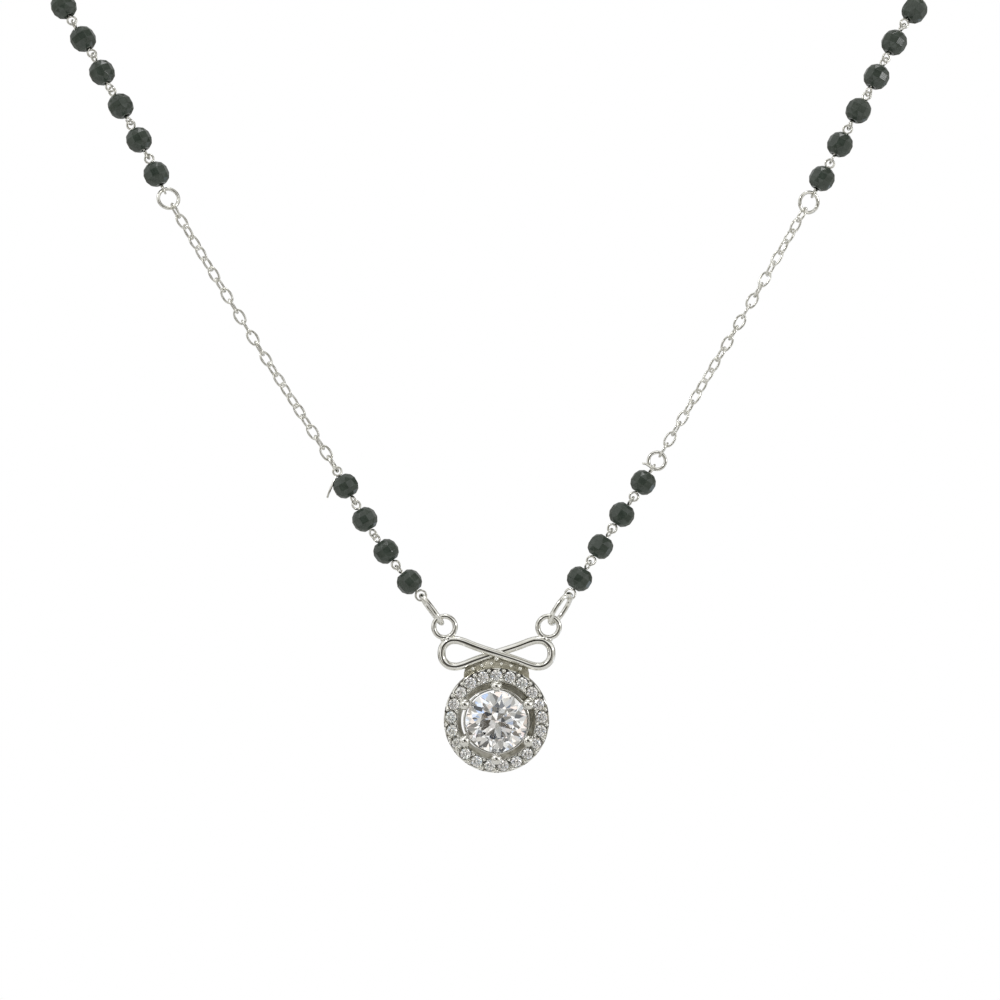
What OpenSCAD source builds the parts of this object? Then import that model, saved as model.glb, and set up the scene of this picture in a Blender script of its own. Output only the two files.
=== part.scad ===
// Mangalsutra with a halo pendant.
// Millimetres, +Z up, the front faces -Y. The origin is the nape: the middle of the clasp,
// where the loop sits on the back of the neck.

/* [Neck loop] */
// Distance of the front plane, in which the pendant hangs, in front of the nape
front_reach = 99; // [90:1:110]
// Drop of the pendant's loops below the nape
front_drop = 107; // [98:1:118]
// Play left between two pieces that hook into each other
play = 0.1; // [0.1:0.01:0.11]

/* [Cable chain] */
// Length of one link over all
link_length = 1.78; // [1.74:0.01:1.9]
// Width of one link over all
link_width = 1.15; // [1.05:0.01:1.25]
// Thickness of a link's wire
link_wire = 0.22; // [0.2:0.01:0.24]
// Links between the two groups of beads on the left
left_links = 24; // [20:1:26]
// Links between the two groups of beads on the right
right_links = 23; // [20:1:26]

/* [Beads] */
// Width of a bead across its belt
bead_d = 2.5; // [2.2:0.05:2.8]
// Length of a bead along the thread
bead_length = 2.25; // [1.8:0.05:2.4]
// Facets round a bead
bead_sides = 10; // [8:1:14]
// Width of the flat at each end of a bead
bead_end_d = 1.2; // [0.9:0.05:1.4]
// Drilled hole
bead_bore = 0.6; // [0.4:0.05:0.7]
// Beads next to the pendant on each side
lower_beads = 4; // [2:1:4]
// Beads above the plain chain on each side
upper_beads = 8; // [4:1:8]

/* [Bead wires] */
// Thickness of the wire
wire_d = 0.25; // [0.2:0.01:0.26]
// Thickness where the wire runs through the bead
stem_d = 0.21; // [0.16:0.01:0.22]
// Outer width of an eye
eye_d = 1.02; // [0.98:0.01:1.1]
// Outer width of the larger eye that holds the oval ring
large_eye_d = 1.22; // [1.2:0.01:1.3]
// Space between an eye and the bead
eye_clear = 0.08; // [0.06:0.01:0.12]

/* [Rings] */
// Outer width of the ring below the plain chain
lower_ring_d = 2.0; // [1.8:0.05:2.3]
// Outer width of the rings above the plain chain and behind the beads
upper_ring_d = 2.3; // [1.9:0.05:2.5]
// Thickness of these rings
ring_wire = 0.3; // [0.24:0.01:0.31]
// Length of the oval ring that carries the pendant
oval_length = 3.9; // [3.6:0.05:4.4]
// Width of the oval ring
oval_width = 2.4; // [2.3:0.05:2.6]
// Thickness of the oval ring
oval_wire = 0.48; // [0.4:0.01:0.5]

/* [Halo] */
// Outer width of the halo
halo_d = 10.5; // [10.4:0.05:11]
// Width of its opening at the face
halo_bore = 7.7; // [7.6:0.05:7.8]
// Width of its opening at the back
halo_back_bore = 7.0; // [6.8:0.05:7.2]
// Height of the halo from back to face
halo_height = 1.7; // [1.4:0.05:2]
// Number of small stones
halo_count = 21; // [18:1:21]
// Diameter of a small stone
halo_stone_d = 1.1; // [0.9:0.01:1.12]
// Diameter of the circle on which the small stones sit
halo_pitch_d = 9.1; // [9.05:0.01:9.15]
// Diameter of a grain that holds the small stones
grain_d = 0.4; // [0.3:0.01:0.4]

/* [Centre stone] */
// Diameter of the stone
stone_d = 6.13; // [5.9:0.01:6.15]
// Height of its girdle above the face of the halo
stone_rise = 0.75; // [0.7:0.05:1]
// Crown height as a share of the diameter
crown_share = 0.16; // [0.13:0.01:0.18]
// Pavilion depth as a share of the diameter
pavilion_share = 0.43; // [0.38:0.01:0.44]
// Table width as a share of the diameter
table_share = 0.56; // [0.5:0.01:0.64]
// Number of prongs
prong_count = 6; // [4:1:6]
// Thickness of a prong
prong_d = 0.6; // [0.5:0.05:0.7]
// Diameter of a prong's ball
ball_d = 1.16; // [1:0.02:1.2]

/* [Bow] */
// Width of the bow between the middles of its wire
bow_width = 11.0; // [10.4:0.1:11.4]
// Height of a lobe between the middles of its wire
bow_height = 2.66; // [2.4:0.02:2.8]
// Thickness of the wire
bow_wire = 0.8; // [0.7:0.02:0.84]
// Height of the bow's crossing above the middle of the halo
bow_rise = 6.6; // [6.5:0.05:6.7]
// Depth of the bow behind the face of the halo
bow_depth = 1.0; // [0.8:0.05:1.2]
// Distance between the middles of the two loops
loops_apart = 10.4; // [10:0.1:10.8]
// Height of the loops above the middle of the halo
loop_rise = 9.25; // [9.1:0.05:9.3]
// Outer width of a loop
loop_d = 2.66; // [2.5:0.02:2.8]
// Thickness of a loop
loop_wire = 0.52; // [0.46:0.02:0.54]
// Lean of the hanging pendant, its lower edge backwards, which puts its weight below the loops
lean = 2.3; // [0:0.1:8]

/* [Clasp] */
// Outer width of the bolt ring
clasp_d = 6; // [5:0.1:7]
// Thickness of the bolt ring
clasp_wire = 1.1; // [0.9:0.05:1.2]
// Outer width of the eye soldered to the bolt ring
clasp_eye_d = 2.6; // [2.2:0.1:3]
// Thickness of that eye and of its lug
clasp_eye_wire = 0.5; // [0.4:0.05:0.6]
// Outer width of the end ring that hooks into the clasp
end_ring_d = 3.3; // [3:0.1:3.6]
// Thickness of the end ring
end_ring_wire = 0.6; // [0.5:0.05:0.7]

/* [Hidden] */
$fn = 48;
SIDES = ["left", "right"];
PAIRED = ["oval_ring", "lower_wires", "lower_ring", "chain", "upper_ring", "upper_wires", "rear_ring", "back_chain"];

// Routes of the two halves of the loop, from a pendant loop to the nape.
// Columns: distance from the middle, distance behind the front plane, height above the pendant's loops.
LEFT_FRONT = [
    [5.2, 0, 0], [8.5, 0, 4.4], [11, 0, 7.2], [13.1, 0, 10.7], [15.1, 0, 14], [16.6, 0, 16.7],
    [24.8, 0, 29.6], [32.9, 0, 43], [34.1, 0, 45.3], [35.7, 0, 48.9], [37.8, 0, 52.2], [39.3, 0, 55.3],
    [41.3, 0, 58.8], [43.3, 0, 62]
];
RIGHT_FRONT = [
    [5.2, 0, 0], [8.2, 0, 4.6], [10.3, 0, 8], [12.6, 0, 11.3], [14.7, 0, 14.5], [16.1, 0, 16.7],
    [23.8, 0, 29.6], [31.2, 0, 42.4], [32.4, 0, 44.5], [34.1, 0, 47.8], [35.9, 0, 51.2], [37.7, 0, 54.3],
    [39.4, 0, 57.8], [41.2, 0, 61]
];
NECK = [
    [46, 1, 67], [49.5, 5, 73.5], [53, 13.5, 81], [55.5, 26, 88], [56, 41, 93.5], [54.5, 56.5, 98.3],
    [49, 71, 102], [39.5, 83.5, 104.6], [27.5, 92.5, 106.2], [14, 97.5, 106.9], [0, 99, 107]
];
ROUTE_STEPS = 12;

// From the middle of each piece to the middle of the wire at its end
loop_reach = (loop_d - loop_wire) / 2;
oval_reach = (oval_length - oval_wire) / 2;
link_reach = (link_length - link_wire) / 2;
lower_ring_reach = (lower_ring_d - ring_wire) / 2;
upper_ring_reach = (upper_ring_d - ring_wire) / 2;
eye_reach = (eye_d - wire_d) / 2;
large_eye_reach = (large_eye_d - wire_d) / 2;
eye_x = bead_length / 2 + eye_clear + eye_d / 2;
large_eye_x = bead_length / 2 + eye_clear + large_eye_d / 2;
bead_reach = eye_x + eye_reach;

// Distances along the route, counted from the middle of a pendant loop
bead_pitch = 2 * bead_reach - wire_d - play;
link_pitch = 2 * link_reach - link_wire - play;
s_oval = hooked(loop_reach, loop_wire, oval_reach, oval_wire);
s_lower_bead = s_oval + hooked(oval_reach, oval_wire, large_eye_x + large_eye_reach, wire_d);
s_lower_ring = s_lower_bead + (lower_beads - 1) * bead_pitch
    + hooked(bead_reach, wire_d, lower_ring_reach, ring_wire);
s_link = s_lower_ring + hooked(lower_ring_reach, ring_wire, link_reach, link_wire);

// The pendant hangs from the point where each loop rests in its oval ring
hook_angle = 34;
hinge_rise = loop_rise + loop_reach * cos(hook_angle);
hinge_z = loop_reach * cos(hook_angle) - front_drop;

// Turns about the strand in degrees; a piece turned by 0 shows its full width in front.
// Pieces that hook into each other lie about a quarter turn apart, and the rest is the strand's twist.
// The two eyes of a bead's wire lie square to each other.
LEFT_OVAL_TURN = 78;
RIGHT_OVAL_TURN = -60;
LEFT_LOWER_RING_TURN = 90;
RIGHT_LOWER_RING_TURN = 0;
UPPER_RING_TURN = -20;
HOOK_TURN = 97;
UPPER_HOOK_TURN = 107;
EYE_TURN = 90;

// Small stones and grains, measured from the face of the halo
SEAT_DEPTH = 0.6;
SEAT_CLEAR = 0.03;
GRAIN_INSET = 0.225;
GRAIN_RISE = 0.04;
BACK_BEVEL = 0.3;

// Shares of the stones' cut, and the turn of the centre stone
GIRDLE_SHARE = 0.02;
STAR_SHARE = 0.8;
HALF_SHARE = 0.3;
STONE_TURN = 11;

// Basket, as radius and height from the middle of the halo's face
BASE_R = 2.3;
BASE_Z = -1.75;
BASE_WIRE = 0.56;
GALLERY_R = 3.3;
GALLERY_DROP = 0.42;
GALLERY_WIRE = 0.34;
SHOULDER_IN = 0.04;
SHOULDER_Z = 0.35;
SHOULDER_ROUND = 0.08;
BAR_FROM = 2.9;
BAR_Z = -0.95;
BAR_D = 0.56;
ball_r = stone_d / 2 + 0.55;
ball_z = stone_rise + 0.38;

// Web that solders the bow to the halo, and the solder under each loop
WEB = [[-3.3, 4], [-3.5, 4.75], [-3.1, 5.3], [0, 6.5], [3.1, 5.3], [3.5, 4.75], [3.3, 4], [0, 4.7]];
WEB_HEIGHT = 0.76;
SOLDER_X = 4.8;
SOLDER_Y = 8.05;
SOLDER_D = 0.8;

// Clasp, measured from its middle
LUG_D = 0.8;
LUG_HEIGHT = 0.95;
clasp_eye_x = clasp_d / 2 + clasp_eye_d / 2 - 0.15;
clasp_reach = clasp_eye_x + clasp_eye_d / 2;
end_ring_x = hooked((clasp_d - clasp_wire) / 2, clasp_wire, (end_ring_d - end_ring_wire) / 2, end_ring_wire);
end_ring_reach = end_ring_x + end_ring_d / 2;

// A quarter of the bow's middle line, from the crossing to the tip of a lobe.
// Columns: share of half the width, share of half the height, share of the weave. BOW_WIDEST is the row of
// the full height, counted from 0.
BOW_QUARTER = [
    [0, 0, 1], [0.24, 0.32, 0.75], [0.42, 0.58, 0.4], [0.6, 0.87, 0.1], [0.74, 1, 0], [0.87, 0.91, 0],
    [0.97, 0.53, 0], [1, 0, 0]
];
BOW_WIDEST = 4;
BOW_WEAVE = 0.2;

// Mesh steps of the swept wires
BOW_SIDES = 10;
BOW_STEPS = 3;
FRONT_STRAND_SHARE = 0.96;
FRONT_STRAND_OVERLAP = 2;
TUBE_SIDES = 8;
TUBE_RINGS = 40;
TUBE_CLEAR = 0.15;

function bead_name(group, side, i) = str(group, "_bead_", side, "_", i);
function unit(v) = v / norm(v);
function last(list) = list[len(list) - 1];

// Distance between the middles of two pieces that hook into each other with some play
function hooked(reach_a, wire_a, reach_b, wire_b) = reach_a + reach_b - (wire_a + wire_b) / 2 - play;

// Smooth curve through a list of points
function curve_point(a, b, c, d, t) =
    (2 * b + (c - a) * t + (2 * a - 5 * b + 4 * c - d) * pow(t, 2) + (3 * b - a - 3 * c + d) * pow(t, 3)) / 2;
function curve(points, steps) = let (n = len(points) - 1) concat(
    [for (i = [0:n - 1], k = [0:steps - 1]) curve_point(
        i == 0 ? 2 * points[0] - points[1] : points[i - 1], points[i], points[i + 1],
        i == n - 1 ? 2 * points[n] - points[n - 1] : points[i + 2], k / steps)],
    [points[n]]);
function distances(points) = [
    for (i = 0, s = 0; i < len(points);
        s = s + (i + 1 < len(points) ? norm(points[i + 1] - points[i]) : 0), i = i + 1) s
];

// A half of the loop, as three tables of a coordinate against the distance along the route
function route(side) = let (
    front = side == "left" ? LEFT_FRONT : RIGHT_FRONT,
    sign = side == "left" ? -1 : 1,
    placed = [for (p = concat(front, NECK)) [sign * p.x, p.y - front_reach, p.z - front_drop]],
    points = curve(placed, ROUTE_STEPS),
    s = distances(points)
) [for (axis = [0:2]) [for (i = [0:len(s) - 1]) [s[i], points[i][axis]]]];
LEFT = route("left");
RIGHT = route("right");
function half(side) = side == "left" ? LEFT : RIGHT;
function half_length(side) = last(half(side)[0])[0];
function at(side, s) = [for (axis = [0:2]) lookup(s, half(side)[axis])];

// Stations that differ between the two sides, because the plain chains do
function link_count(side) = side == "left" ? left_links : right_links;
function s_upper_ring(side) = s_link + (link_count(side) - 1) * link_pitch
    + hooked(link_reach, link_wire, upper_ring_reach, ring_wire);
function s_upper_bead(side) = s_upper_ring(side) + hooked(upper_ring_reach, ring_wire, bead_reach, wire_d);
function s_rear_ring(side) = s_upper_bead(side) + (upper_beads - 1) * bead_pitch
    + hooked(bead_reach, wire_d, upper_ring_reach, ring_wire);

// Turn at one hook, so that a number of hooks leads from one turn to another, with some wires in between
function turn_step(from, to, hooks, wires = 0) = let (rest = to - from - EYE_TURN * wires)
    (rest + 180 * round((HOOK_TURN * hooks - rest) / 180)) / hooks;
function oval_turn(side) = side == "left" ? LEFT_OVAL_TURN : RIGHT_OVAL_TURN;
function lower_ring_turn(side) = side == "left" ? LEFT_LOWER_RING_TURN : RIGHT_LOWER_RING_TURN;
function lower_turn(side, i) = oval_turn(side) + (i - 1) * EYE_TURN
    + i * turn_step(oval_turn(side), lower_ring_turn(side), lower_beads + 1, lower_beads);
function link_turn(side, i) =
    lower_ring_turn(side) + i * turn_step(lower_ring_turn(side), UPPER_RING_TURN, link_count(side) + 1);
function upper_turn(i) = UPPER_RING_TURN + (i - 1) * EYE_TURN + i * UPPER_HOOK_TURN;

// Moves a piece, made along X and lying in the XY plane, to its place on the strand
module on_strand(side, s, reach, turn = 0) {
    a = at(side, s - reach);
    b = at(side, s + reach);
    along = unit(b - a);
    front = unit([0, -1, 0] + along.y * along);
    up = front * cos(turn) + cross(front, along) * sin(turn);
    across = cross(up, along);
    middle = (a + b) / 2;
    multmatrix([for (k = [0:2]) [along[k], across[k], up[k], middle[k]]]) children();
}

// Moves a piece, made face up round the middle of the halo, to its hanging place
module hung() {
    translate([0, -front_reach, hinge_z]) rotate([90 + lean, 0, 0])
        translate([0, -hinge_rise, bow_depth]) children();
}

module ring(outer_d, wire) {
    rotate_extrude() translate([(outer_d - wire) / 2, 0]) circle(d = wire);
}

// Oval ring or link: two half rings joined by straight sides
module oval(length, width, wire) {
    straight = (length - width) / 2;
    middle_r = (width - wire) / 2;
    for (end = [0, 1]) mirror([end, 0, 0]) translate([straight, 0, 0])
        rotate([0, 0, -90]) rotate_extrude(angle = 180) translate([middle_r, 0]) circle(d = wire);
    for (edge = [-1, 1]) translate([0, edge * middle_r, 0])
        rotate([0, 90, 0]) cylinder(d = wire, h = 2 * straight, center = true);
}

// Faceted rondelle: three bands of facets, each shifted by half a facet, and a flat at each end
module rondelle() {
    bands = [
        [-bead_length / 2, bead_end_d / 2, 0], [-0.36 * bead_length, 0.41 * bead_d, 0.5],
        [-0.15 * bead_length, bead_d / 2, 0], [0.15 * bead_length, bead_d / 2, 0],
        [0.36 * bead_length, 0.41 * bead_d, 0.5], [bead_length / 2, bead_end_d / 2, 0]
    ];
    n = bead_sides;
    points = [for (band = bands, i = [0:n - 1]) let (a = (i + band[2]) * 360 / n)
        [band[0], band[1] * cos(a), band[1] * sin(a)]];
    function corner(band, i) = band * n + i % n;
    walls = [for (b = [0:len(bands) - 2], i = [0:n - 1])
        let (ahead = bands[b][2] > bands[b + 1][2] ? 1 : 0)
        each ahead == 1
            ? [[corner(b, i), corner(b + 1, i + 1), corner(b, i + 1)],
                [corner(b, i), corner(b + 1, i), corner(b + 1, i + 1)]]
            : [[corner(b, i), corner(b + 1, i), corner(b, i + 1)],
                [corner(b, i + 1), corner(b + 1, i), corner(b + 1, i + 1)]]];
    difference() {
        polyhedron(points, concat(walls, [
            [for (i = [0:n - 1]) corner(0, i)],
            [for (i = [n - 1:-1:0]) corner(len(bands) - 1, i)]
        ]));
        rotate([0, 90, 0]) cylinder(d = bead_bore, h = 2 * bead_length, center = true);
    }
}

module bead(side, s) {
    color([0.12, 0.13, 0.12]) on_strand(side, s, bead_reach) rondelle();
}
function s_bead(group, side, i) = (i - 1) * bead_pitch + (group == "lower" ? s_lower_bead : s_upper_bead(side));

// Wire through one bead, with an eye at each end, the far one square to the near one
module bead_wire(near_eye_d) {
    near_x = near_eye_d == eye_d ? eye_x : large_eye_x;
    near_end = near_x - (near_eye_d - wire_d) / 2;
    far_end = eye_x - eye_reach;
    translate([-near_end, 0, 0]) rotate([0, 90, 0]) cylinder(d = stem_d, h = near_end + far_end);
    translate([-near_x, 0, 0]) ring(near_eye_d, wire_d);
    translate([eye_x, 0, 0]) rotate([EYE_TURN, 0, 0]) ring(eye_d, wire_d);
}
module lower_wires(side) {
    color("silver") for (i = [1:lower_beads])
        on_strand(side, s_bead("lower", side, i), bead_reach, lower_turn(side, i))
            bead_wire(i == 1 ? large_eye_d : eye_d);
}
module upper_wires(side) {
    color("silver") for (i = [1:upper_beads])
        on_strand(side, s_bead("upper", side, i), bead_reach, upper_turn(i)) bead_wire(eye_d);
}

module oval_ring(side) {
    color("silver") on_strand(side, s_oval, oval_reach, oval_turn(side))
        oval(oval_length, oval_width, oval_wire);
}
module lower_ring(side) {
    color("silver") on_strand(side, s_lower_ring, lower_ring_reach, lower_ring_turn(side))
        ring(lower_ring_d, ring_wire);
}
module upper_ring(side) {
    color("silver") on_strand(side, s_upper_ring(side), upper_ring_reach, UPPER_RING_TURN)
        ring(upper_ring_d, ring_wire);
}
module rear_ring(side) {
    color("silver") on_strand(side, s_rear_ring(side), upper_ring_reach, upper_turn(upper_beads + 1))
        ring(upper_ring_d, ring_wire);
}
module chain(side) {
    color("silver") for (i = [1:link_count(side)])
        on_strand(side, s_link + (i - 1) * link_pitch, link_reach, link_turn(side, i))
            oval(link_length, link_width, link_wire);
}

// Rings of points round a path, with a chosen direction that stays square to it
function ring_of_points(middle, along, front, radius, sides) = let (
    across = unit(cross(along, front)), up = cross(across, along)
) [for (j = [0:sides - 1]) let (a = 360 * j / sides) middle + radius * (cos(a) * across + sin(a) * up)];

// Solid through rings of points: triangles between neighbouring rings and a flat at each end
module swept(rings) {
    sides = len(rings[0]);
    count = len(rings);
    walls = [for (i = [0:count - 2], j = [0:sides - 1])
        let (k = (j + 1) % sides, near = i * sides, far = near + sides)
        each [[near + j, near + k, far + j], [near + k, far + k, far + j]]];
    near_end = [for (j = [sides - 1:-1:0]) j];
    far_end = [for (j = [0:sides - 1]) (count - 1) * sides + j];
    polyhedron([for (points = rings) each points], concat(walls, [near_end, far_end]));
}

// The hidden stretch from the rear ring to the clasp, where fine links follow this tube
module back_chain(side) {
    start = s_rear_ring(side) + upper_ring_reach + ring_wire / 2 + TUBE_CLEAR;
    end = half_length(side) - TUBE_CLEAR - (side == "left" ? clasp_reach : end_ring_reach);
    step = (end - start) / (TUBE_RINGS - 1);
    color("silver") swept([for (i = [0:TUBE_RINGS - 1]) let (s = start + i * step)
        ring_of_points(at(side, s), unit(at(side, s + step / 2) - at(side, s - step / 2)),
            [0, 0, 1], link_width / 2, TUBE_SIDES)]);
}

// Bolt ring with the eye that holds the last link of the left half
module clasp() {
    color("silver") rotate([90, 0, 0]) {
        ring(clasp_d, clasp_wire);
        translate([-clasp_eye_x, 0, 0]) ring(clasp_eye_d, clasp_eye_wire);
        translate([0, (clasp_d - clasp_wire) / 2, 0]) cylinder(d = LUG_D, h = LUG_HEIGHT);
    }
}
module end_ring() {
    color("silver") translate([end_ring_x, 0, 0]) ring(end_ring_d, end_ring_wire);
}

// Places a number of equal pieces round the halo's middle
module round_halo(count, radius, first = 90) {
    for (i = [0:count - 1]) rotate(first + i * 360 / count) translate([radius, 0, 0]) children();
}

// Round brilliant, girdle at zero: table, stars, kites and halves above, mains and halves below
module brilliant(d) {
    r = d / 2;
    table_r = table_share * r;
    crown = crown_share * d;
    pavilion = pavilion_share * d;
    girdle = GIRDLE_SHARE * d;
    star_r = STAR_SHARE * r;
    half_r = HALF_SHARE * r;
    star_z = girdle + crown * (r - star_r * cos(22.5)) / (r - table_r);
    half_z = -pavilion * (1 - half_r * cos(22.5) / r);
    function circle_points(count, radius, z, first) =
        [for (i = [0:count - 1]) let (a = first + i * 360 / count) [radius * cos(a), radius * sin(a), z]];
    points = concat(
        circle_points(8, table_r, girdle + crown, 0), circle_points(8, star_r, star_z, 22.5),
        circle_points(16, r, girdle, 0), circle_points(16, r, 0, 0),
        circle_points(8, half_r, half_z, 22.5), [[0, 0, -pavilion]]);
    function table_at(i) = i % 8;
    function star_at(i) = 8 + (i + 8) % 8;
    function upper_at(i) = 16 + (i + 16) % 16;
    function lower_at(i) = 32 + (i + 16) % 16;
    function half_at(i) = 48 + (i + 8) % 8;
    culet = 56;
    crown_faces = [for (i = [0:7]) each [
        [table_at(i), table_at(i + 1), star_at(i)],
        [table_at(i), upper_at(2 * i), star_at(i - 1)], [table_at(i), star_at(i), upper_at(2 * i)],
        [star_at(i), upper_at(2 * i + 1), upper_at(2 * i)], [star_at(i), upper_at(2 * i + 2), upper_at(2 * i + 1)]
    ]];
    girdle_faces = [for (i = [0:15]) each [
        [upper_at(i), upper_at(i + 1), lower_at(i)], [upper_at(i + 1), lower_at(i + 1), lower_at(i)]
    ]];
    pavilion_faces = [for (i = [0:7]) each [
        [lower_at(2 * i), lower_at(2 * i + 1), half_at(i)], [lower_at(2 * i + 1), lower_at(2 * i + 2), half_at(i)],
        [lower_at(2 * i), culet, half_at(i - 1)], [lower_at(2 * i), half_at(i), culet]
    ]];
    polyhedron(points, concat([[for (i = [7:-1:0]) i]], crown_faces, girdle_faces, pavilion_faces));
}

module centre_stone() {
    color([0.9, 0.92, 0.95]) hung() translate([0, 0, stone_rise]) rotate(STONE_TURN) brilliant(stone_d);
}
module halo_stones() {
    color([0.85, 0.87, 0.88]) hung() round_halo(halo_count, halo_pitch_d / 2) brilliant(halo_stone_d);
}

// Ring of metal with a drilled seat under each small stone, and grains on both sides between the stones
module halo() {
    difference() {
        rotate_extrude() polygon([
            [halo_bore / 2, 0], [halo_d / 2, 0], [halo_d / 2, BACK_BEVEL - halo_height],
            [halo_d / 2 - BACK_BEVEL, -halo_height], [halo_back_bore / 2, -halo_height]
        ]);
        round_halo(halo_count, halo_pitch_d / 2) translate([0, 0, -SEAT_DEPTH])
            cylinder(d = halo_stone_d + 2 * SEAT_CLEAR, h = 2 * SEAT_DEPTH);
    }
    for (radius = [halo_bore / 2 + GRAIN_INSET, halo_d / 2 - GRAIN_INSET])
        round_halo(halo_count, radius, 90 + 180 / halo_count) translate([0, 0, GRAIN_RISE]) sphere(d = grain_d);
}

// Rod between two points given as radius and height, in the plane of X and Z
module rod(from, to, d) {
    length = norm(to - from);
    angle = atan2(to.x - from.x, to.y - from.y);
    translate([from.x, 0, from.y]) rotate([0, angle, 0]) cylinder(d = d, h = length);
}

// Basket of the centre stone: base ring, gallery ring and prongs with balls, tied to the halo by bars
module basket() {
    shoulder = [ball_r - SHOULDER_IN, SHOULDER_Z];
    translate([0, 0, BASE_Z]) ring(2 * BASE_R + BASE_WIRE, BASE_WIRE);
    translate([0, 0, stone_rise - GALLERY_DROP]) ring(2 * GALLERY_R + GALLERY_WIRE, GALLERY_WIRE);
    round_halo(prong_count, 0) {
        rod([BASE_R, BASE_Z], shoulder, prong_d);
        translate([shoulder.x, 0, shoulder.y]) sphere(d = prong_d + SHOULDER_ROUND);
        rod(shoulder, [ball_r, ball_z], prong_d);
        translate([ball_r, 0, ball_z]) sphere(d = ball_d);
        rod([BAR_FROM, BAR_Z], [halo_pitch_d / 2, BAR_Z], BAR_D);
    }
}

// The bow's middle line, closed: up round the right lobe, back through the crossing and round the left lobe.
// The strand from the upper left to the lower right passes in front of the other.
function bow_path() = let (
    quarter = [for (p = BOW_QUARTER) [p.x * bow_width / 2, p.y * bow_height / 2, p.z * BOW_WEAVE]],
    tip = len(quarter) - 1,
    knots = concat(
        [for (i = [0:tip]) [quarter[i].x, quarter[i].y, -quarter[i].z]],
        [for (i = [tip - 1:-1:0]) [quarter[i].x, -quarter[i].y, quarter[i].z]],
        [for (i = [1:tip]) [-quarter[i].x, quarter[i].y, quarter[i].z]],
        [for (i = [tip - 1:-1:1]) [-quarter[i].x, -quarter[i].y, -quarter[i].z]]),
    n = len(knots)
) [for (i = [0:n - 1], k = [0:BOW_STEPS - 1])
    curve_point(knots[(i + n - 1) % n], knots[i], knots[(i + 1) % n], knots[(i + 2) % n], k / BOW_STEPS)];

module bow() {
    path = bow_path();
    n = len(path);
    reach = BOW_WIDEST * BOW_STEPS;
    function wire_ring(i, radius) = ring_of_points(
        path[i % n], unit(path[(i + 1) % n] - path[(i + n - 1) % n]), [0, 0, 1], radius, BOW_SIDES);
    // The front strand is a little thinner and ends inside the lobes, so that no two faces coincide
    translate([0, bow_rise, -bow_depth]) {
        swept([for (i = [n / 2 + reach:n * 3 / 2 - reach]) wire_ring(i, bow_wire / 2)]);
        swept([for (i = [n / 2 - reach - FRONT_STRAND_OVERLAP:n / 2 + reach + FRONT_STRAND_OVERLAP])
            wire_ring(i, FRONT_STRAND_SHARE * bow_wire / 2)]);
    }
    translate([0, 0, -bow_depth - WEB_HEIGHT / 2]) linear_extrude(WEB_HEIGHT) polygon(WEB);
    for (end = [-1, 1]) {
        translate([end * loops_apart / 2, loop_rise, -bow_depth]) ring(loop_d, loop_wire);
        translate([end * SOLDER_X, SOLDER_Y, -bow_depth]) sphere(d = SOLDER_D);
    }
}

module pendant_frame() {
    color("silver") hung() {
        halo();
        basket();
        bow();
    }
}

pendant_frame();
centre_stone();
halo_stones();
for (side = SIDES) {
    for (i = [1:lower_beads])
        bead(side, s_bead("lower", side, i));
    for (i = [1:upper_beads])
        bead(side, s_bead("upper", side, i));
    oval_ring(side);
    lower_wires(side);
    lower_ring(side);
    chain(side);
    upper_ring(side);
    upper_wires(side);
    rear_ring(side);
    back_chain(side);
}
clasp();
end_ring();
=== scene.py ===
"""Mangalsutra: fine silver chain, faceted black beads and a round halo pendant under a bow of crossed wire.

Every shape is made in millimetres and placed by the strand's route or by the pendant's hinge, as in the
part's source, and becomes a mesh in metres at the end.
"""

import logging
import math
from collections.abc import Sequence
from dataclasses import dataclass, field
from enum import Enum
from random import Random

import bmesh
import bpy
import numpy as np
from mathutils import Matrix, Vector


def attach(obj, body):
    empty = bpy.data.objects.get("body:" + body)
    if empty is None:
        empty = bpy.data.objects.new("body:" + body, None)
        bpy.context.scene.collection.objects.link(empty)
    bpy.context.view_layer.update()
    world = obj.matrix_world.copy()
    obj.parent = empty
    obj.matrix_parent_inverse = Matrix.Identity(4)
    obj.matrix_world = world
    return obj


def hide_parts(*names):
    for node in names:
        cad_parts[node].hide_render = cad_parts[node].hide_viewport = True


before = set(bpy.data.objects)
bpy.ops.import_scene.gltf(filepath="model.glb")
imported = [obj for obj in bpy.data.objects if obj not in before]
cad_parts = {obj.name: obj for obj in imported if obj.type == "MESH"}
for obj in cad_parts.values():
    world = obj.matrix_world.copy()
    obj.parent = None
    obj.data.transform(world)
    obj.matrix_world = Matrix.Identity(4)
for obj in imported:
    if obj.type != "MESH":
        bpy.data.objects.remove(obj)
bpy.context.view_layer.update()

LOG = logging.getLogger("mangalsutra")
MM = 0.001
PHOTO_PIXELS = 1000
PIXELS_PER_MM = 10
# Material numbers of the pendant: polished silver, and dark matt silver whose colour paints the shade in its
# recesses, with some tarnish.
POLISHED, RECESS_SHADE_AND_TARNISH = 0, 1

Shell = tuple[np.ndarray, list[tuple[int, ...]]]
Place = np.ndarray


class Side(Enum):
    """The two halves of the loop, as the viewer sees them."""

    LEFT = -1
    RIGHT = 1

    @property
    def tag(self) -> str:
        """The side's word in the names of the nodes."""
        return self.name.lower()


class Slot(Enum):
    """Material slots of the record."""

    SILVER = "silver"
    BLACK_BEAD = "black_bead"
    CLEAR_STONE = "clear_stone"


def unit(vector: np.ndarray) -> np.ndarray:
    """A vector, or each row of a table, at length one."""
    return vector / np.linalg.norm(vector, axis=-1, keepdims=True)


def shift(x: float = 0, y: float = 0, z: float = 0) -> Place:
    """A place moved along the three axes, in millimetres."""
    place = np.eye(4)
    place[:3, 3] = x, y, z
    return place


def turn(axis: str, degrees: float) -> Place:
    """A place turned about X, Y or Z."""
    return np.array(Matrix.Rotation(math.radians(degrees), 4, axis))


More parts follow.
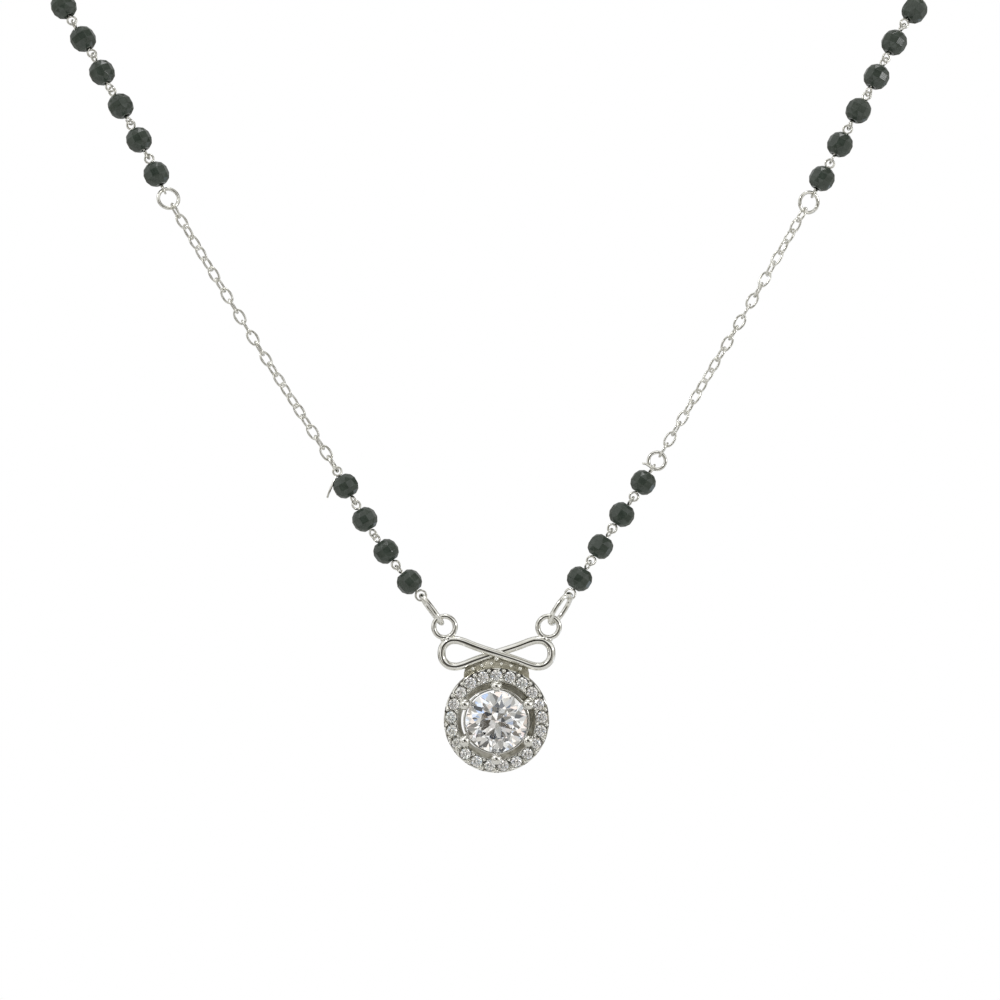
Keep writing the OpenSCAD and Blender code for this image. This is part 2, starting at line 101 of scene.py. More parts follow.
def from_axes(along: np.ndarray, across: np.ndarray, up: np.ndarray, middle: np.ndarray) -> Place:
    """A place from its three axes and its middle."""
    place = np.eye(4)
    for column, axis in enumerate((along, across, up, middle)):
        place[:3, column] = axis
    return place


def circle_profile(radius: float, sides: int) -> np.ndarray:
    """Round section of a wire, as points across and up."""
    angles = np.arange(sides) * 2 * math.pi / sides
    return radius * np.column_stack([np.cos(angles), np.sin(angles)])


def arc(radius: float, first: float, last: float, steps: int, rise: float = 0) -> np.ndarray:
    """Points along an arc in the XY plane, from one angle to another in degrees.

    Args:
        radius: Radius of the arc.
        first: Angle of its first point.
        last: Angle of its last point.
        steps: Number of points.
        rise: How far it climbs along Z from its first to its last point.

    Returns:
        Table of points.
    """
    angles = np.radians(np.linspace(first, last, steps))
    height = np.linspace(-rise / 2, rise / 2, steps)
    return np.column_stack([radius * np.cos(angles), radius * np.sin(angles), height])


def smooth(knots: Sequence[Sequence[float]], steps: int, closed: bool = False) -> np.ndarray:
    """Smooth curve through a list of points.

    Args:
        knots: The points.
        steps: Points from one knot to the next.
        closed: Whether the curve returns to its first point.

    Returns:
        Table of points.
    """
    knots = np.asarray(knots, float)
    if closed:
        knots = np.vstack([knots[-1:], knots, knots[:2]])
    else:
        knots = np.vstack([2 * knots[0] - knots[1], knots, 2 * knots[-1] - knots[-2]])
    t = (np.arange(steps) / steps)[:, None]
    spans = [
        (2 * b + (c - a) * t + (2 * a - 5 * b + 4 * c - d) * t ** 2 + (3 * b - a - 3 * c + d) * t ** 3) / 2
        for a, b, c, d in zip(knots, knots[1:], knots[2:], knots[3:])]
    return np.vstack(spans if closed else spans + [knots[-2:-1]])


def full_ring(radius: float, steps: int) -> np.ndarray:
    """Points round a circle in the XY plane, the first one not repeated."""
    return arc(radius, 0, 360, steps + 1)[:-1]


def swept(path: np.ndarray, profile: np.ndarray, up: Sequence[float] = (0, 0, 1), closed: bool = False,
          scale: np.ndarray | None = None) -> Shell:
    """A closed shell of one section along a path.

    Args:
        path: Points of the middle line.
        profile: Section, as points across and up.
        up: Direction that the section keeps as its up.
        closed: Whether the path returns to its first point.
        scale: Size of the section at each point, as a share of the profile.

    Returns:
        Points and faces.
    """
    path = np.asarray(path, float)
    if closed:
        tangent = unit(np.roll(path, -1, 0) - np.roll(path, 1, 0))
    else:
        tangent = unit(np.gradient(path, axis=0))
    across = unit(np.cross(tangent, np.asarray(up, float)))
    lift = np.cross(across, tangent)
    size = np.ones(len(path)) if scale is None else scale
    section = profile[None, :, 0, None] * across[:, None, :] + profile[None, :, 1, None] * lift[:, None, :]
    points = (path[:, None, :] + size[:, None, None] * section).reshape(-1, 3)
    sides, rings = len(profile), len(path)
    faces = woven(rings, sides, closed)
    if not closed:
        faces.append(tuple(range(sides)))
        faces.append(tuple(range((rings - 1) * sides, rings * sides))[::-1])
    return points, faces


def woven(rings: int, sides: int, closed: bool) -> list[tuple[int, ...]]:
    """Four-sided faces between rings of points that follow each other.

    Args:
        rings: Number of rings.
        sides: Points in a ring.
        closed: Whether the last ring joins the first.

    Returns:
        Faces.
    """
    faces = []
    for i in range(rings if closed else rings - 1):
        near, far = i * sides, (i + 1) % rings * sides
        for j in range(sides):
            k = (j + 1) % sides
            faces.append((near + j, far + j, far + k, near + k))
    return faces


def round_ended(path: np.ndarray, radius: float, sides: int, up: Sequence[float] = (0, 0, 1)) -> Shell:
    """A round wire along a path, with rounded ends.

    Args:
        path: Points of the middle line.
        radius: Radius of the wire.
        sides: Sides of its section.
        up: A direction that the path never follows.

    Returns:
        Points and faces.
    """
    path = np.asarray(path, float)
    start, end = unit(path[0] - path[1]), unit(path[-1] - path[-2])
    angles = np.radians([80, 55, 28])
    head = [path[0] + start * radius * math.sin(a) for a in angles]
    tail = [path[-1] + end * radius * math.sin(a) for a in angles[::-1]]
    scale = np.concatenate([np.cos(angles), np.ones(len(path)), np.cos(angles[::-1])])
    return swept(np.vstack([head, path, tail]), circle_profile(radius, sides), up, scale=scale)


def wire_ring(radius: float, wire: float, steps: int, sides: int) -> Shell:
    """A closed ring of round wire in the XY plane, by the radius of its middle line."""
    return swept(full_ring(radius, steps), circle_profile(wire / 2, sides), closed=True)


def ball(radius: float, middle: Sequence[float], sides: int = 16, squash: float = 1) -> Shell:
    """A ball, with its poles along Z.

    Args:
        radius: Radius of the ball.
        middle: Its middle.
        sides: Points round it.
        squash: Height as a share of the width.

    Returns:
        Points and faces.
    """
    angles = np.radians(np.linspace(-86, 86, sides // 2 + 1))
    path = np.zeros((len(angles), 3)) + np.asarray(middle, float)
    path[:, 2] += radius * squash * np.sin(angles)
    return swept(path, circle_profile(radius, sides), (0, 1, 0), scale=np.cos(angles))


def plate(outline: Sequence[Sequence[float]], low: float, high: float) -> Shell:
    """A flat plate of any outline.

    Args:
        outline: Corners of the outline.
        low: Height of its back.
        high: Height of its face.

    Returns:
        Points and faces.
    """
    corners = np.asarray(outline, float)
    count = len(corners)
    points = np.vstack([np.column_stack([corners, np.full(count, z)]) for z in (low, high)])
    faces = [(j, (j + 1) % count, (j + 1) % count + count, j + count) for j in range(count)]
    return points, faces + [tuple(range(count))[::-1], tuple(range(count, 2 * count))]


def oval_path(length: float, width: float, steps: int, roundness: float = 2.3) -> np.ndarray:
    """Middle line of an oval ring or link in the XY plane, a little fuller than an ellipse."""
    angles = np.arange(steps) * 2 * math.pi / steps
    power = 2 / roundness
    x = length / 2 * np.sign(np.cos(angles)) * np.abs(np.cos(angles)) ** power
    y = width / 2 * np.sign(np.sin(angles)) * np.abs(np.sin(angles)) ** power
    return np.column_stack([x, y, 0 * x])


class Metalwork:
    """Collects closed shells in millimetres and joins them in one mesh object in metres."""

    def __init__(self, name: str) -> None:
        """Starts an empty piece of that name."""
        self.name = name
        self.points: list[np.ndarray] = []
        self.faces: list[tuple[int, ...]] = []
        self.finish_of: list[int] = []
        self.count = 0

    def add(self, shell: Shell, place: Place | None = None, finish: int | Sequence[int] = 0) -> None:
        """Adds a shell.

        Args:
            shell: Points and faces.
            place: Where it goes.
            finish: Number of its material in the piece, or one for each face.
        """
        points, faces = shell
        if place is not None:
            points = points @ place[:3, :3].T + place[:3, 3]
        self.points.append(points)
        self.faces += [tuple(i + self.count for i in face) for face in faces]
        self.finish_of += [finish] * len(faces) if isinstance(finish, int) else list(finish)
        self.count += len(points)

    def build(self, finishes: Sequence[bpy.types.Material], sharp_angle: float = 35) -> bpy.types.Object:
        """Makes the mesh object.

        Args:
            finishes: Materials of the piece.
            sharp_angle: Edges that turn by more than this stay sharp, in degrees.

        Returns:
            The new object.
        """
        mesh = bpy.data.meshes.new(self.name)
        mesh.from_pydata(np.vstack(self.points) * MM, [], self.faces)
        mesh.polygons.foreach_set("material_index", self.finish_of)
        for material in finishes:
            mesh.materials.append(material)
        work = bmesh.new()
        work.from_mesh(mesh)
        bmesh.ops.recalc_face_normals(work, faces=work.faces)
        work.to_mesh(mesh)
        work.free()
        mesh.shade_smooth()
        mesh.set_sharp_from_angle(angle=math.radians(sharp_angle))
        piece = bpy.data.objects.new(self.name, mesh)
        bpy.context.scene.collection.objects.link(piece)
        return piece


def hand_over(piece: bpy.types.Object, node: str, body: str, slot: Slot) -> None:
    """Ties a piece to the body that it rides on, hides the node that it stands for, and reports it.

    Args:
        piece: The finished object.
        node: CAD node that it replaces.
        body: CAD body that it rides on.
        slot: Material slot of the record; not used.
    """
    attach(piece, body)
    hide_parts(node)
    LOG.info("%s: %d faces in place of %s", piece.name, len(piece.data.polygons), node)


class NodeSheet:
    """A node tree with short ways to add and join nodes."""

    def __init__(self, tree: bpy.types.NodeTree) -> None:
        """Works on that tree."""
        self.tree = tree

    def node(self, kind: str, inputs: dict | None = None, **settings) -> bpy.types.Node:
        """Adds a node.

        Args:
            kind: Blender's name of the node type.
            inputs: Values of its sockets, or the sockets that lead to them, by name or number.
            **settings: Attributes of the node.

        Returns:
            The new node.
        """
        made = self.tree.nodes.new(kind)
        for name, value in settings.items():
            setattr(made, name, value)
        for key, value in (inputs or {}).items():
            if isinstance(value, bpy.types.NodeSocket):
                self.tree.links.new(value, made.inputs[key])
            else:
                made.inputs[key].default_value = value
        return made

    def math(self, operation: str, *values) -> bpy.types.NodeSocket:
        """The result of a Math node on values or sockets."""
        return self.node("ShaderNodeMath", dict(enumerate(values)), operation=operation).outputs[0]

    def ramp(self, source: bpy.types.NodeSocket,
             stops: Sequence[tuple[float, Sequence[float]]]) -> bpy.types.NodeSocket:
        """A colour ramp over a value.

        Args:
            source: The value.
            stops: Position and colour of each stop.

        Returns:
            The colour.
        """
        made = self.node("ShaderNodeValToRGB", {0: source})
        elements = made.color_ramp.elements
        while len(elements) < len(stops):
            elements.new(0.5)
        for element, (position, colour) in zip(elements, stops):
            element.position = position
            element.color = (*colour[:3], 1)
        return made.outputs["Color"]

    def noise(self, place: bpy.types.NodeSocket, scale: float | bpy.types.NodeSocket, detail: float,
              output: str = "Fac", **more: float) -> bpy.types.NodeSocket:
        """A noise texture.

        Args:
            place: Where it is read.
            scale: Its scale, or the socket that leads to it.
            detail: Its detail.
            output: The output that is wanted.
            **more: Values of its other sockets.

        Returns:
            That output.
        """
        sockets = {"Vector": place, "Scale": scale, "Detail": detail, **more}
        return self.node("ShaderNodeTexNoise", sockets).outputs[output]

    def fade(self, value: bpy.types.NodeSocket, span: tuple[float, float],
             ends: tuple[float, float]) -> bpy.types.NodeSocket:
        """A value that goes softly from one end to the other while another value crosses a span."""
        sockets = {"Value": value, 1: span[0], 2: span[1], 3: ends[0], 4: ends[1]}
        return self.node("ShaderNodeMapRange", sockets, interpolation_type="SMOOTHSTEP").outputs[0]


def new_group(name: str, inputs: dict[str, float],
              outputs: dict[str, str]) -> tuple[bpy.types.NodeTree, NodeSheet]:
    """Starts a shader node group with named sockets.

    Args:
        name: Name of the group.
        inputs: Name and usual value of each input.
        outputs: Name and socket type of each output.

    Returns:
        The group and a sheet to fill it.
    """
    group = bpy.data.node_groups.new(name, "ShaderNodeTree")
    for label, value in inputs.items():
        socket = group.interface.new_socket(name=label, in_out="INPUT", socket_type="NodeSocketFloat")
        socket.default_value = value
    for label, kind in outputs.items():
        group.interface.new_socket(name=label, in_out="OUTPUT", socket_type=kind)
    return group, NodeSheet(group)


def handling_group() -> bpy.types.NodeTree:
    """Group of the marks that polishing and handling leave: a roughness, a tone mask and a height."""
    group, sheet = new_group(
        "handling marks",
        {"Clouds per mm": 1.6, "Marks per mm": 9.0, "Base roughness": 0.1, "Roughness spread": 0.1},
        {"Roughness": "NodeSocketFloat", "Tone": "NodeSocketFloat", "Height": "NodeSocketFloat"})
    given = sheet.node("NodeGroupInput").outputs
    place = sheet.node("ShaderNodeTexCoord").outputs["Object"]
    clouds = sheet.noise(place, sheet.math("MULTIPLY", given["Clouds per mm"], 1 / MM), 3.0, Roughness=0.55)
    marks = sheet.noise(place, sheet.math("MULTIPLY", given["Marks per mm"], 1 / MM), 4.0,
                        Roughness=0.65, Distortion=0.6)
    mixed = sheet.math("ADD", sheet.math("MULTIPLY", clouds, 0.6), sheet.math("MULTIPLY", marks, 0.4))
    spread = sheet.math("MULTIPLY", sheet.math("SUBTRACT", mixed, 0.5), given["Roughness spread"])
    sheet.node("NodeGroupOutput", {
        "Roughness": sheet.math("MAXIMUM", sheet.math("ADD", given["Base roughness"], spread), 0.02),
        "Tone": clouds, "Height": marks})
    return group


def new_material(name: str) -> tuple[bpy.types.Material, NodeSheet, bpy.types.Node]:
    """A material with an empty Principled BSDF.

    Args:
        name: Name of the material.

    Returns:
        The material, a sheet for its nodes and the shader node.
    """
    material = bpy.data.materials.new(name)
    material.use_nodes = True
    sheet = NodeSheet(material.node_tree)
    return material, sheet, material.node_tree.nodes["Principled BSDF"]


@dataclass(frozen=True)
class Silver:
    """Silver, from a mirror polish to a dark matt tone that paints the shade in recesses, with some tarnish.
    """

    name: str
    pale: tuple[float, float, float]
    deep: tuple[float, float, float]
    roughness: float
    spread: float
    marks_per_mm: float
    bump: float
    depth: float = 0.02

    def material(self, handling: bpy.types.NodeTree) -> bpy.types.Material:
        """Makes the material.

        Args:
            handling: Group of polishing and handling marks.

        Returns:
            The new material.
        """
        material, sheet, shader = new_material(self.name)
        marks = sheet.node("ShaderNodeGroup", {
            "Marks per mm": self.marks_per_mm, "Base roughness": self.roughness,
            "Roughness spread": self.spread}, node_tree=handling)
        tone = sheet.ramp(marks.outputs["Tone"], [(0.35, self.deep), (0.62, self.pale)])
        relief = sheet.node("ShaderNodeBump", {
            "Strength": self.bump, "Distance": self.depth * MM,
            "Height": marks.outputs["Height"]}).outputs["Normal"]
        shader.inputs["Metallic"].default_value = 1
        links = material.node_tree.links
        links.new(tone, shader.inputs["Base Color"])
        links.new(marks.outputs["Roughness"], shader.inputs["Roughness"])
        links.new(relief, shader.inputs["Normal"])
        return material


@dataclass(frozen=True)
class BlackGlass:
    """Black faceted glass with a faint green tint and lightly worn edges."""

    pale: tuple[float, float, float] = (0.066, 0.084, 0.070)
    deep: tuple[float, float, float] = (0.038, 0.050, 0.040)
    roughness: float = 0.12
    spread: float = 0.12
    ior: float = 1.5

    def material(self, handling: bpy.types.NodeTree) -> bpy.types.Material:
        """Makes the material.

        Args:
            handling: Group of polishing and handling marks.

        Returns:
            The new material.
        """
        material, sheet, shader = new_material("black_glass")
        marks = sheet.node("ShaderNodeGroup", {
            "Base roughness": self.roughness, "Roughness spread": self.spread}, node_tree=handling)
        links = material.node_tree.links
        tone = sheet.ramp(marks.outputs["Tone"], [(0.3, self.deep), (0.7, self.pale)])
        links.new(tone, shader.inputs["Base Color"])
        links.new(marks.outputs["Roughness"], shader.inputs["Roughness"])
        shader.inputs["IOR"].default_value = self.ior
        return material


@dataclass(frozen=True)
class ClearStone:
    """Clear brilliant-cut stone of high refraction, its colour painted with blue and pink blotches of fire.
    """

    name: str
    ior: float = 2.16
    roughness: float = 0.0
    cool: tuple[float, float, float] = (0.90, 0.94, 1.0)
    warm: tuple[float, float, float] = (1.0, 0.93, 0.90)
    patches_per_mm: float = 0.9

    def material(self) -> bpy.types.Material:
        """Makes the material."""
        material, sheet, shader = new_material(self.name)
        place = sheet.node("ShaderNodeTexCoord").outputs["Object"]
        # A blotchy blue, white and pink colour, read from noise, paints the stone's fire.
        fire_patches = sheet.noise(place, self.patches_per_mm / MM, 1.0, "Color")
        parts = sheet.node("ShaderNodeSeparateColor", {"Color": fire_patches}).outputs
        cast = sheet.ramp(parts["Red"], [
            (0.30, self.cool), (0.45, (1.0, 1.0, 1.0)), (0.6, (1.0, 0.99, 0.97)), (0.72, self.warm)])
        material.node_tree.links.new(cast, shader.inputs["Base Color"])
        shader.inputs["Roughness"].default_value = self.roughness
        shader.inputs["IOR"].default_value = self.ior
        shader.inputs["Transmission Weight"].default_value = 1
        return material


class FinishBox:
    """All finishes of the necklace, made once."""

    def __init__(self) -> None:
        """Makes the shared group and the materials."""
        handling = handling_group()
        self.bright = Silver(
            "bright_silver", pale=(0.90, 0.895, 0.865), deep=(0.80, 0.795, 0.74), roughness=0.08, spread=0.08,
            marks_per_mm=9, bump=0.10).material(handling)
        self.drawn = Silver(
            "drawn_silver", pale=(0.86, 0.855, 0.82), deep=(0.72, 0.715, 0.66), roughness=0.12, spread=0.12,
            marks_per_mm=14, bump=0.15).material(handling)
        # Dark matt silver for the bore's wall, the bars and the web: its colour paints the shade in these
        # recesses, with some tarnish.
        self.cast = Silver(
            "cast_silver", pale=(0.62, 0.60, 0.52), deep=(0.34, 0.325, 0.26), roughness=0.32, spread=0.2,
            marks_per_mm=7, bump=0.8).material(handling)
        self.black_glass = BlackGlass().material(handling)
        self.stone = ClearStone("centre_stone").material()
        # The small stones' painted fire is paler and greener.
        self.small_stone = ClearStone(
            "halo_stone", ior=2.1, roughness=0.02, cool=(0.92, 0.98, 0.92),
            warm=(0.94, 0.98, 0.88)).material()


@dataclass(frozen=True)
class Hook:
    """An end that hooks into another piece: its wire, and how far that lies from the piece's middle."""

    reach: float
    wire: float


@dataclass(frozen=True)
class Loop:
    """Outer length, outer width and wire of a ring, link or eye, in millimetres."""

    length: float
    width: float
    wire: float

    @property
    def reach(self) -> float:
        """From its middle to the middle of its wire at an end."""
        return (self.length - self.wire) / 2

    def stouter(self, extra: float) -> "Loop":
        """The same loop of a wire that is that much thicker."""
        return Loop(self.length + extra, self.width + extra, self.wire + extra)


@dataclass(frozen=True)
class Sizes:
    """Sizes that the pieces of the strand share, in millimetres."""

    front_reach: float = 99
    front_drop: float = 107
    play: float = 0.1
    link: Loop = Loop(1.78, 1.15, 0.22)
    bead_d: float = 2.5
    bead_length: float = 2.25
    bead_end_d: float = 1.2
    bead_bore: float = 0.6
    bead_sides: int = 10
    lower_beads: int = 4
    upper_beads: int = 8
    wire_d: float = 0.25
    eye_d: float = 1.02
    large_eye_d: float = 1.22
    eye_clear: float = 0.08
    lower_ring: Loop = Loop(2.0, 2.0, 0.3)
    upper_ring: Loop = Loop(2.3, 2.3, 0.3)
    oval: Loop = Loop(3.9, 2.4, 0.48)
    loop: Loop = Loop(2.66, 2.66, 0.52)
    clasp: Loop = Loop(6, 6, 1.1)
    clasp_eye: Loop = Loop(2.6, 2.6, 0.5)
    clasp_eye_sunk: float = 0.15
    end_ring: Loop = Loop(3.3, 3.3, 0.6)

    def hooked(self, one: Loop | Hook, other: Loop | Hook) -> float:
        """Distance between the middles of two pieces that hook into each other."""
        return one.reach + other.reach - (one.wire + other.wire) / 2 - self.play

    def eye_x(self, eye_d: float) -> float:
        """From the middle of a bead to the middle of an eye of that outer width."""
        return self.bead_length / 2 + self.eye_clear + eye_d / 2

    def wire_end(self, eye_d: float) -> Hook:
        """The end of a bead's wire with an eye of that outer width."""
        return Hook(self.eye_x(eye_d) + (eye_d - self.wire_d) / 2, self.wire_d)

    @property
    def bead(self) -> Hook:
        """A bead on its wire, by its usual eye."""
        return self.wire_end(self.eye_d)

    @property
    def bead_pitch(self) -> float:
        """From one bead to the next."""
        return self.hooked(self.bead, self.bead)

    @property
    def link_pitch(self) -> float:
        """From one link to the next."""
        return self.hooked(self.link, self.link)

    @property
    def clasp_eye_x(self) -> float:
        """From the middle of the clasp to the middle of its eye."""
        return self.clasp.length / 2 + self.clasp_eye.length / 2 - self.clasp_eye_sunk

    @property
    def end_ring_x(self) -> float:
        """From the middle of the clasp to the middle of the end ring."""
        return self.hooked(self.clasp, self.end_ring)


# Knots of each half's route, in millimetres: outwards, back and up from the middle between the pendant's
# loops. The first ones follow the strand in the photograph, and the rest lead both halves alike round the
# neck to the nape.
FRONTS = {
    Side.LEFT: [
        (5.2, 0, 0), (8.5, 0, 4.4), (11, 0, 7.2), (13.1, 0, 10.7), (15.1, 0, 14), (16.6, 0, 16.7),
        (24.8, 0, 29.6), (32.9, 0, 43), (34.1, 0, 45.3), (35.7, 0, 48.9), (37.8, 0, 52.2), (39.3, 0, 55.3),
        (41.3, 0, 58.8), (43.3, 0, 62)],
    Side.RIGHT: [
        (5.2, 0, 0), (8.2, 0, 4.6), (10.3, 0, 8), (12.6, 0, 11.3), (14.7, 0, 14.5), (16.1, 0, 16.7),
        (23.8, 0, 29.6), (31.2, 0, 42.4), (32.4, 0, 44.5), (34.1, 0, 47.8), (35.9, 0, 51.2), (37.7, 0, 54.3),
        (39.4, 0, 57.8), (41.2, 0, 61)],
}
NECK = [
    (46, 1, 67), (49.5, 5, 73.5), (53, 13.5, 81), (55.5, 26, 88), (56, 41, 93.5), (54.5, 56.5, 98.3),
    (49, 71, 102), (39.5, 83.5, 104.6), (27.5, 92.5, 106.2), (14, 97.5, 106.9), (0, 99, 107)]
ROUTE_STEPS = 12

# Turns about the strand in degrees; a piece at 0 shows its full width in front.
HOOK_TURN = 97
UPPER_HOOK_TURN = 107
EYE_TURN = 90
UPPER_RING_TURN = -20
OVAL_TURNS = {Side.LEFT: 78, Side.RIGHT: -60}
LOWER_RING_TURNS = {Side.LEFT: 90, Side.RIGHT: 0}
END_TURNS = {Side.LEFT: 0, Side.RIGHT: 90}

LINK_COUNTS = {Side.LEFT: 24, Side.RIGHT: 23}

# A loose end of wire that stands off an eye on each side: right, back and up from the middle between the
# loops.
TAILS = {
    Side.LEFT: [(-16.05, -0.2, 15.1), (-16.3, -0.35, 14.4), (-16.6, -0.4, 13.7), (-16.85, -0.35, 13)],
    Side.RIGHT: [(15.65, -0.2, 15.7), (15.3, -0.35, 16.05), (14.9, -0.4, 16.3), (14.65, -0.35, 16.35)],
}


def turn_step(start: float, end: float, hooks: int, wires: int = 0) -> float:
    """Turn at one hook, so that a number of hooks leads from one turn to another.

    Args:
        start: Turn of the first piece.
        end: Turn of the last piece.
        hooks: Number of hooks.
        wires: Bead wires in between, whose two eyes lie square to each other.

    Returns:
        The turn in degrees.
    """
    rest = end - start - EYE_TURN * wires
    return (rest + 180 * round((HOOK_TURN * hooks - rest) / 180)) / hooks


class StrandRoute:
    """One half of the loop: a smooth curve from a pendant loop to the nape, and the stations along it."""

    def __init__(self, side: Side, sizes: Sizes) -> None:
        """Lays out the curve and its stations.

        Args:
            side: Which half.
            sizes: Sizes of the pieces.
        """
        self.side, self.sizes = side, sizes
        knots = np.array(FRONTS[side] + NECK, float)
        knots[:, 0] *= side.value
        knots[:, 1] -= sizes.front_reach
        knots[:, 2] -= sizes.front_drop
        self.points = smooth(knots, ROUTE_STEPS)
        steps = np.linalg.norm(np.diff(self.points, axis=0), axis=1)
        self.distances = np.concatenate([[0], np.cumsum(steps)])

        s, hooked = sizes, sizes.hooked
        self.oval = hooked(s.loop, s.oval)
        self.lower_bead = self.oval + hooked(s.oval, s.wire_end(s.large_eye_d))
        self.lower_ring = self.lower_bead + (s.lower_beads - 1) * s.bead_pitch + hooked(s.bead, s.lower_ring)
        self.first_link = self.lower_ring + hooked(s.lower_ring, s.link)
        self.upper_ring = (self.first_link + (self.link_count - 1) * s.link_pitch
                           + hooked(s.link, s.upper_ring))
        self.upper_bead = self.upper_ring + hooked(s.upper_ring, s.bead)
        self.rear_ring = self.upper_bead + (s.upper_beads - 1) * s.bead_pitch + hooked(s.bead, s.upper_ring)
        self.rear_turn = self.upper_turn(s.upper_beads + 1)

    @property
    def link_count(self) -> int:
        """Links between the two groups of beads."""
        return LINK_COUNTS[self.side]

    def at(self, s: float) -> np.ndarray:
        """The point at a distance along the route."""
        return np.array([np.interp(s, self.distances, self.points[:, axis]) for axis in range(3)])

    def place(self, s: float, reach: float, degrees: float = 0) -> Place:
        """Where a piece on the strand lies.

        Args:
            s: Distance of its middle along the route.
            reach: From its middle to where it hangs at each end.
            degrees: Turn about the strand; at 0 it shows its full width in front.

        Returns:
            The place, with X along the strand and Z square to the piece's plane.
        """
        a, b = self.at(s - reach), self.at(s + reach)
        along = unit(b - a)
        front = unit(np.array([0, -1, 0]) + along[1] * along)
        angle = math.radians(degrees)
        up = front * math.cos(angle) + np.cross(front, along) * math.sin(angle)
        return from_axes(along, np.cross(up, along), up, (a + b) / 2)

    def lower_turn(self, i: int) -> float:
        """Turn of the wire of bead i next to the pendant."""
        start, beads = OVAL_TURNS[self.side], self.sizes.lower_beads
        step = turn_step(start, LOWER_RING_TURNS[self.side], beads + 1, beads)
        return start + (i - 1) * EYE_TURN + i * step

    def upper_turn(self, i: int) -> float:
        """Turn of the wire of bead i above the plain chain."""
        return UPPER_RING_TURN + (i - 1) * EYE_TURN + i * UPPER_HOOK_TURN

    def link_turn(self, i: int) -> float:
        """Turn of link i of the plain chain."""
        start = LOWER_RING_TURNS[self.side]
        return start + i * turn_step(start, UPPER_RING_TURN, self.link_count + 1)


@dataclass
class OpenRing:
    """A ring bent from wire, round or oval, with the fine line where its ends meet."""

    size: Loop
    cut_at: float
    cut: float = 0.03
    roundness: float = 2.25
    steps: int = 64
    sides: int = 18

    def shell(self) -> Shell:
        """The ring in the XY plane, long along X."""
        length, width = self.size.length - self.size.wire, self.size.width - self.size.wire
        path = oval_path(length, width, self.steps, 2 if length == width else self.roundness)
        first = round(self.cut_at / 360 * self.steps) % self.steps
        path = np.roll(path, -first, 0)
        gap = unit(path[0] - path[-1]) * self.cut / 2
        middle = (path[0] + path[-1]) / 2
        path = np.vstack([middle + gap, path, middle - gap])
        return swept(path, circle_profile(self.size.wire / 2, self.sides))


@dataclass
class CableLink:
    """One link of the cable chain, with the small swelling of its soldered joint."""

    size: Loop
    steps: int
    sides: int
    solder: float = 1.13
    roundness: float = 2.2
    narrowest: float = 0.96

    def shell(self, rng: Random) -> Shell:
        """The link in the XY plane, long along X.

        Args:
            rng: Source of the small differences between links.

        Returns:
            Points and faces.
        """
        size = self.size
        width = (size.width - size.wire) * rng.uniform(self.narrowest, 1.0)
        path = oval_path(size.length - size.wire, width, self.steps, self.roundness)
        scale = np.ones(self.steps)
        quarter = self.steps // 4
        scale[quarter] = self.solder
        scale[[quarter - 1, quarter + 1]] = (1 + self.solder) / 2
        return swept(path, circle_profile(size.wire / 2, self.sides), closed=True, scale=scale)


@dataclass
class CableChain:
    """A stretch of cable chain: the plain one in front or the hidden one behind."""

    route: StrandRoute
    finishes: FinishBox
    unevenness: float = 4

    def front(self) -> None:
        """Builds the stretch between the two groups of beads."""
        route, tag = self.route, self.route.side.tag
        stations = [route.first_link + i * route.sizes.link_pitch for i in range(route.link_count)]
        turns = [route.link_turn(i + 1) for i in range(route.link_count)]
        self.lay(f"plain_chain_{tag}", f"chain_{tag}", stations, turns, steps=32, sides=12)

    def rear(self) -> None:
        """Builds the hidden stretch, its pitch evened out to end in the clasp's eye or the end ring."""
        route, s, tag = self.route, self.route.sizes, self.route.side.tag
        first = route.rear_ring + s.hooked(s.upper_ring, s.link)
        fittings = {Side.LEFT: (s.clasp_eye, s.clasp_eye_x), Side.RIGHT: (s.end_ring, s.end_ring_x)}
        fitting, x = fittings[route.side]
        last = route.distances[-1] - x - s.hooked(fitting, s.link)
        gaps = math.ceil((last - first) / s.link_pitch)
        step = turn_step(route.rear_turn, END_TURNS[route.side], gaps + 2)
        turns = [route.rear_turn + (i + 1) * step for i in range(gaps + 1)]
        self.lay(f"hidden_chain_{tag}", f"back_chain_{tag}", np.linspace(first, last, gaps + 1), turns,
                 steps=24, sides=8)

    def lay(self, name: str, node: str, stations: Sequence[float], turns: Sequence[float], steps: int,
            sides: int) -> None:
        """Lays links at their stations and hands the stretch over.

        Args:
            name: Name of the piece.
            node: Node that it replaces.
            stations: Distance of each link's middle along the route.
            turns: Turn of each link about the strand.
            steps: Points round a link.
            sides: Sides of the wire's section.
        """
        rng, size = Random(name), self.route.sizes.link
        link = CableLink(size, steps, sides)
        work = Metalwork(name)
        for s, degrees in zip(stations, turns):
            shell = link.shell(rng)
            degrees += rng.uniform(-self.unevenness, self.unevenness)
            work.add(shell, self.route.place(s, size.reach, degrees))
        hand_over(work.build([self.finishes.drawn]), node, "strands", Slot.SILVER)
        LOG.info("%s has %d links", name, len(stations))


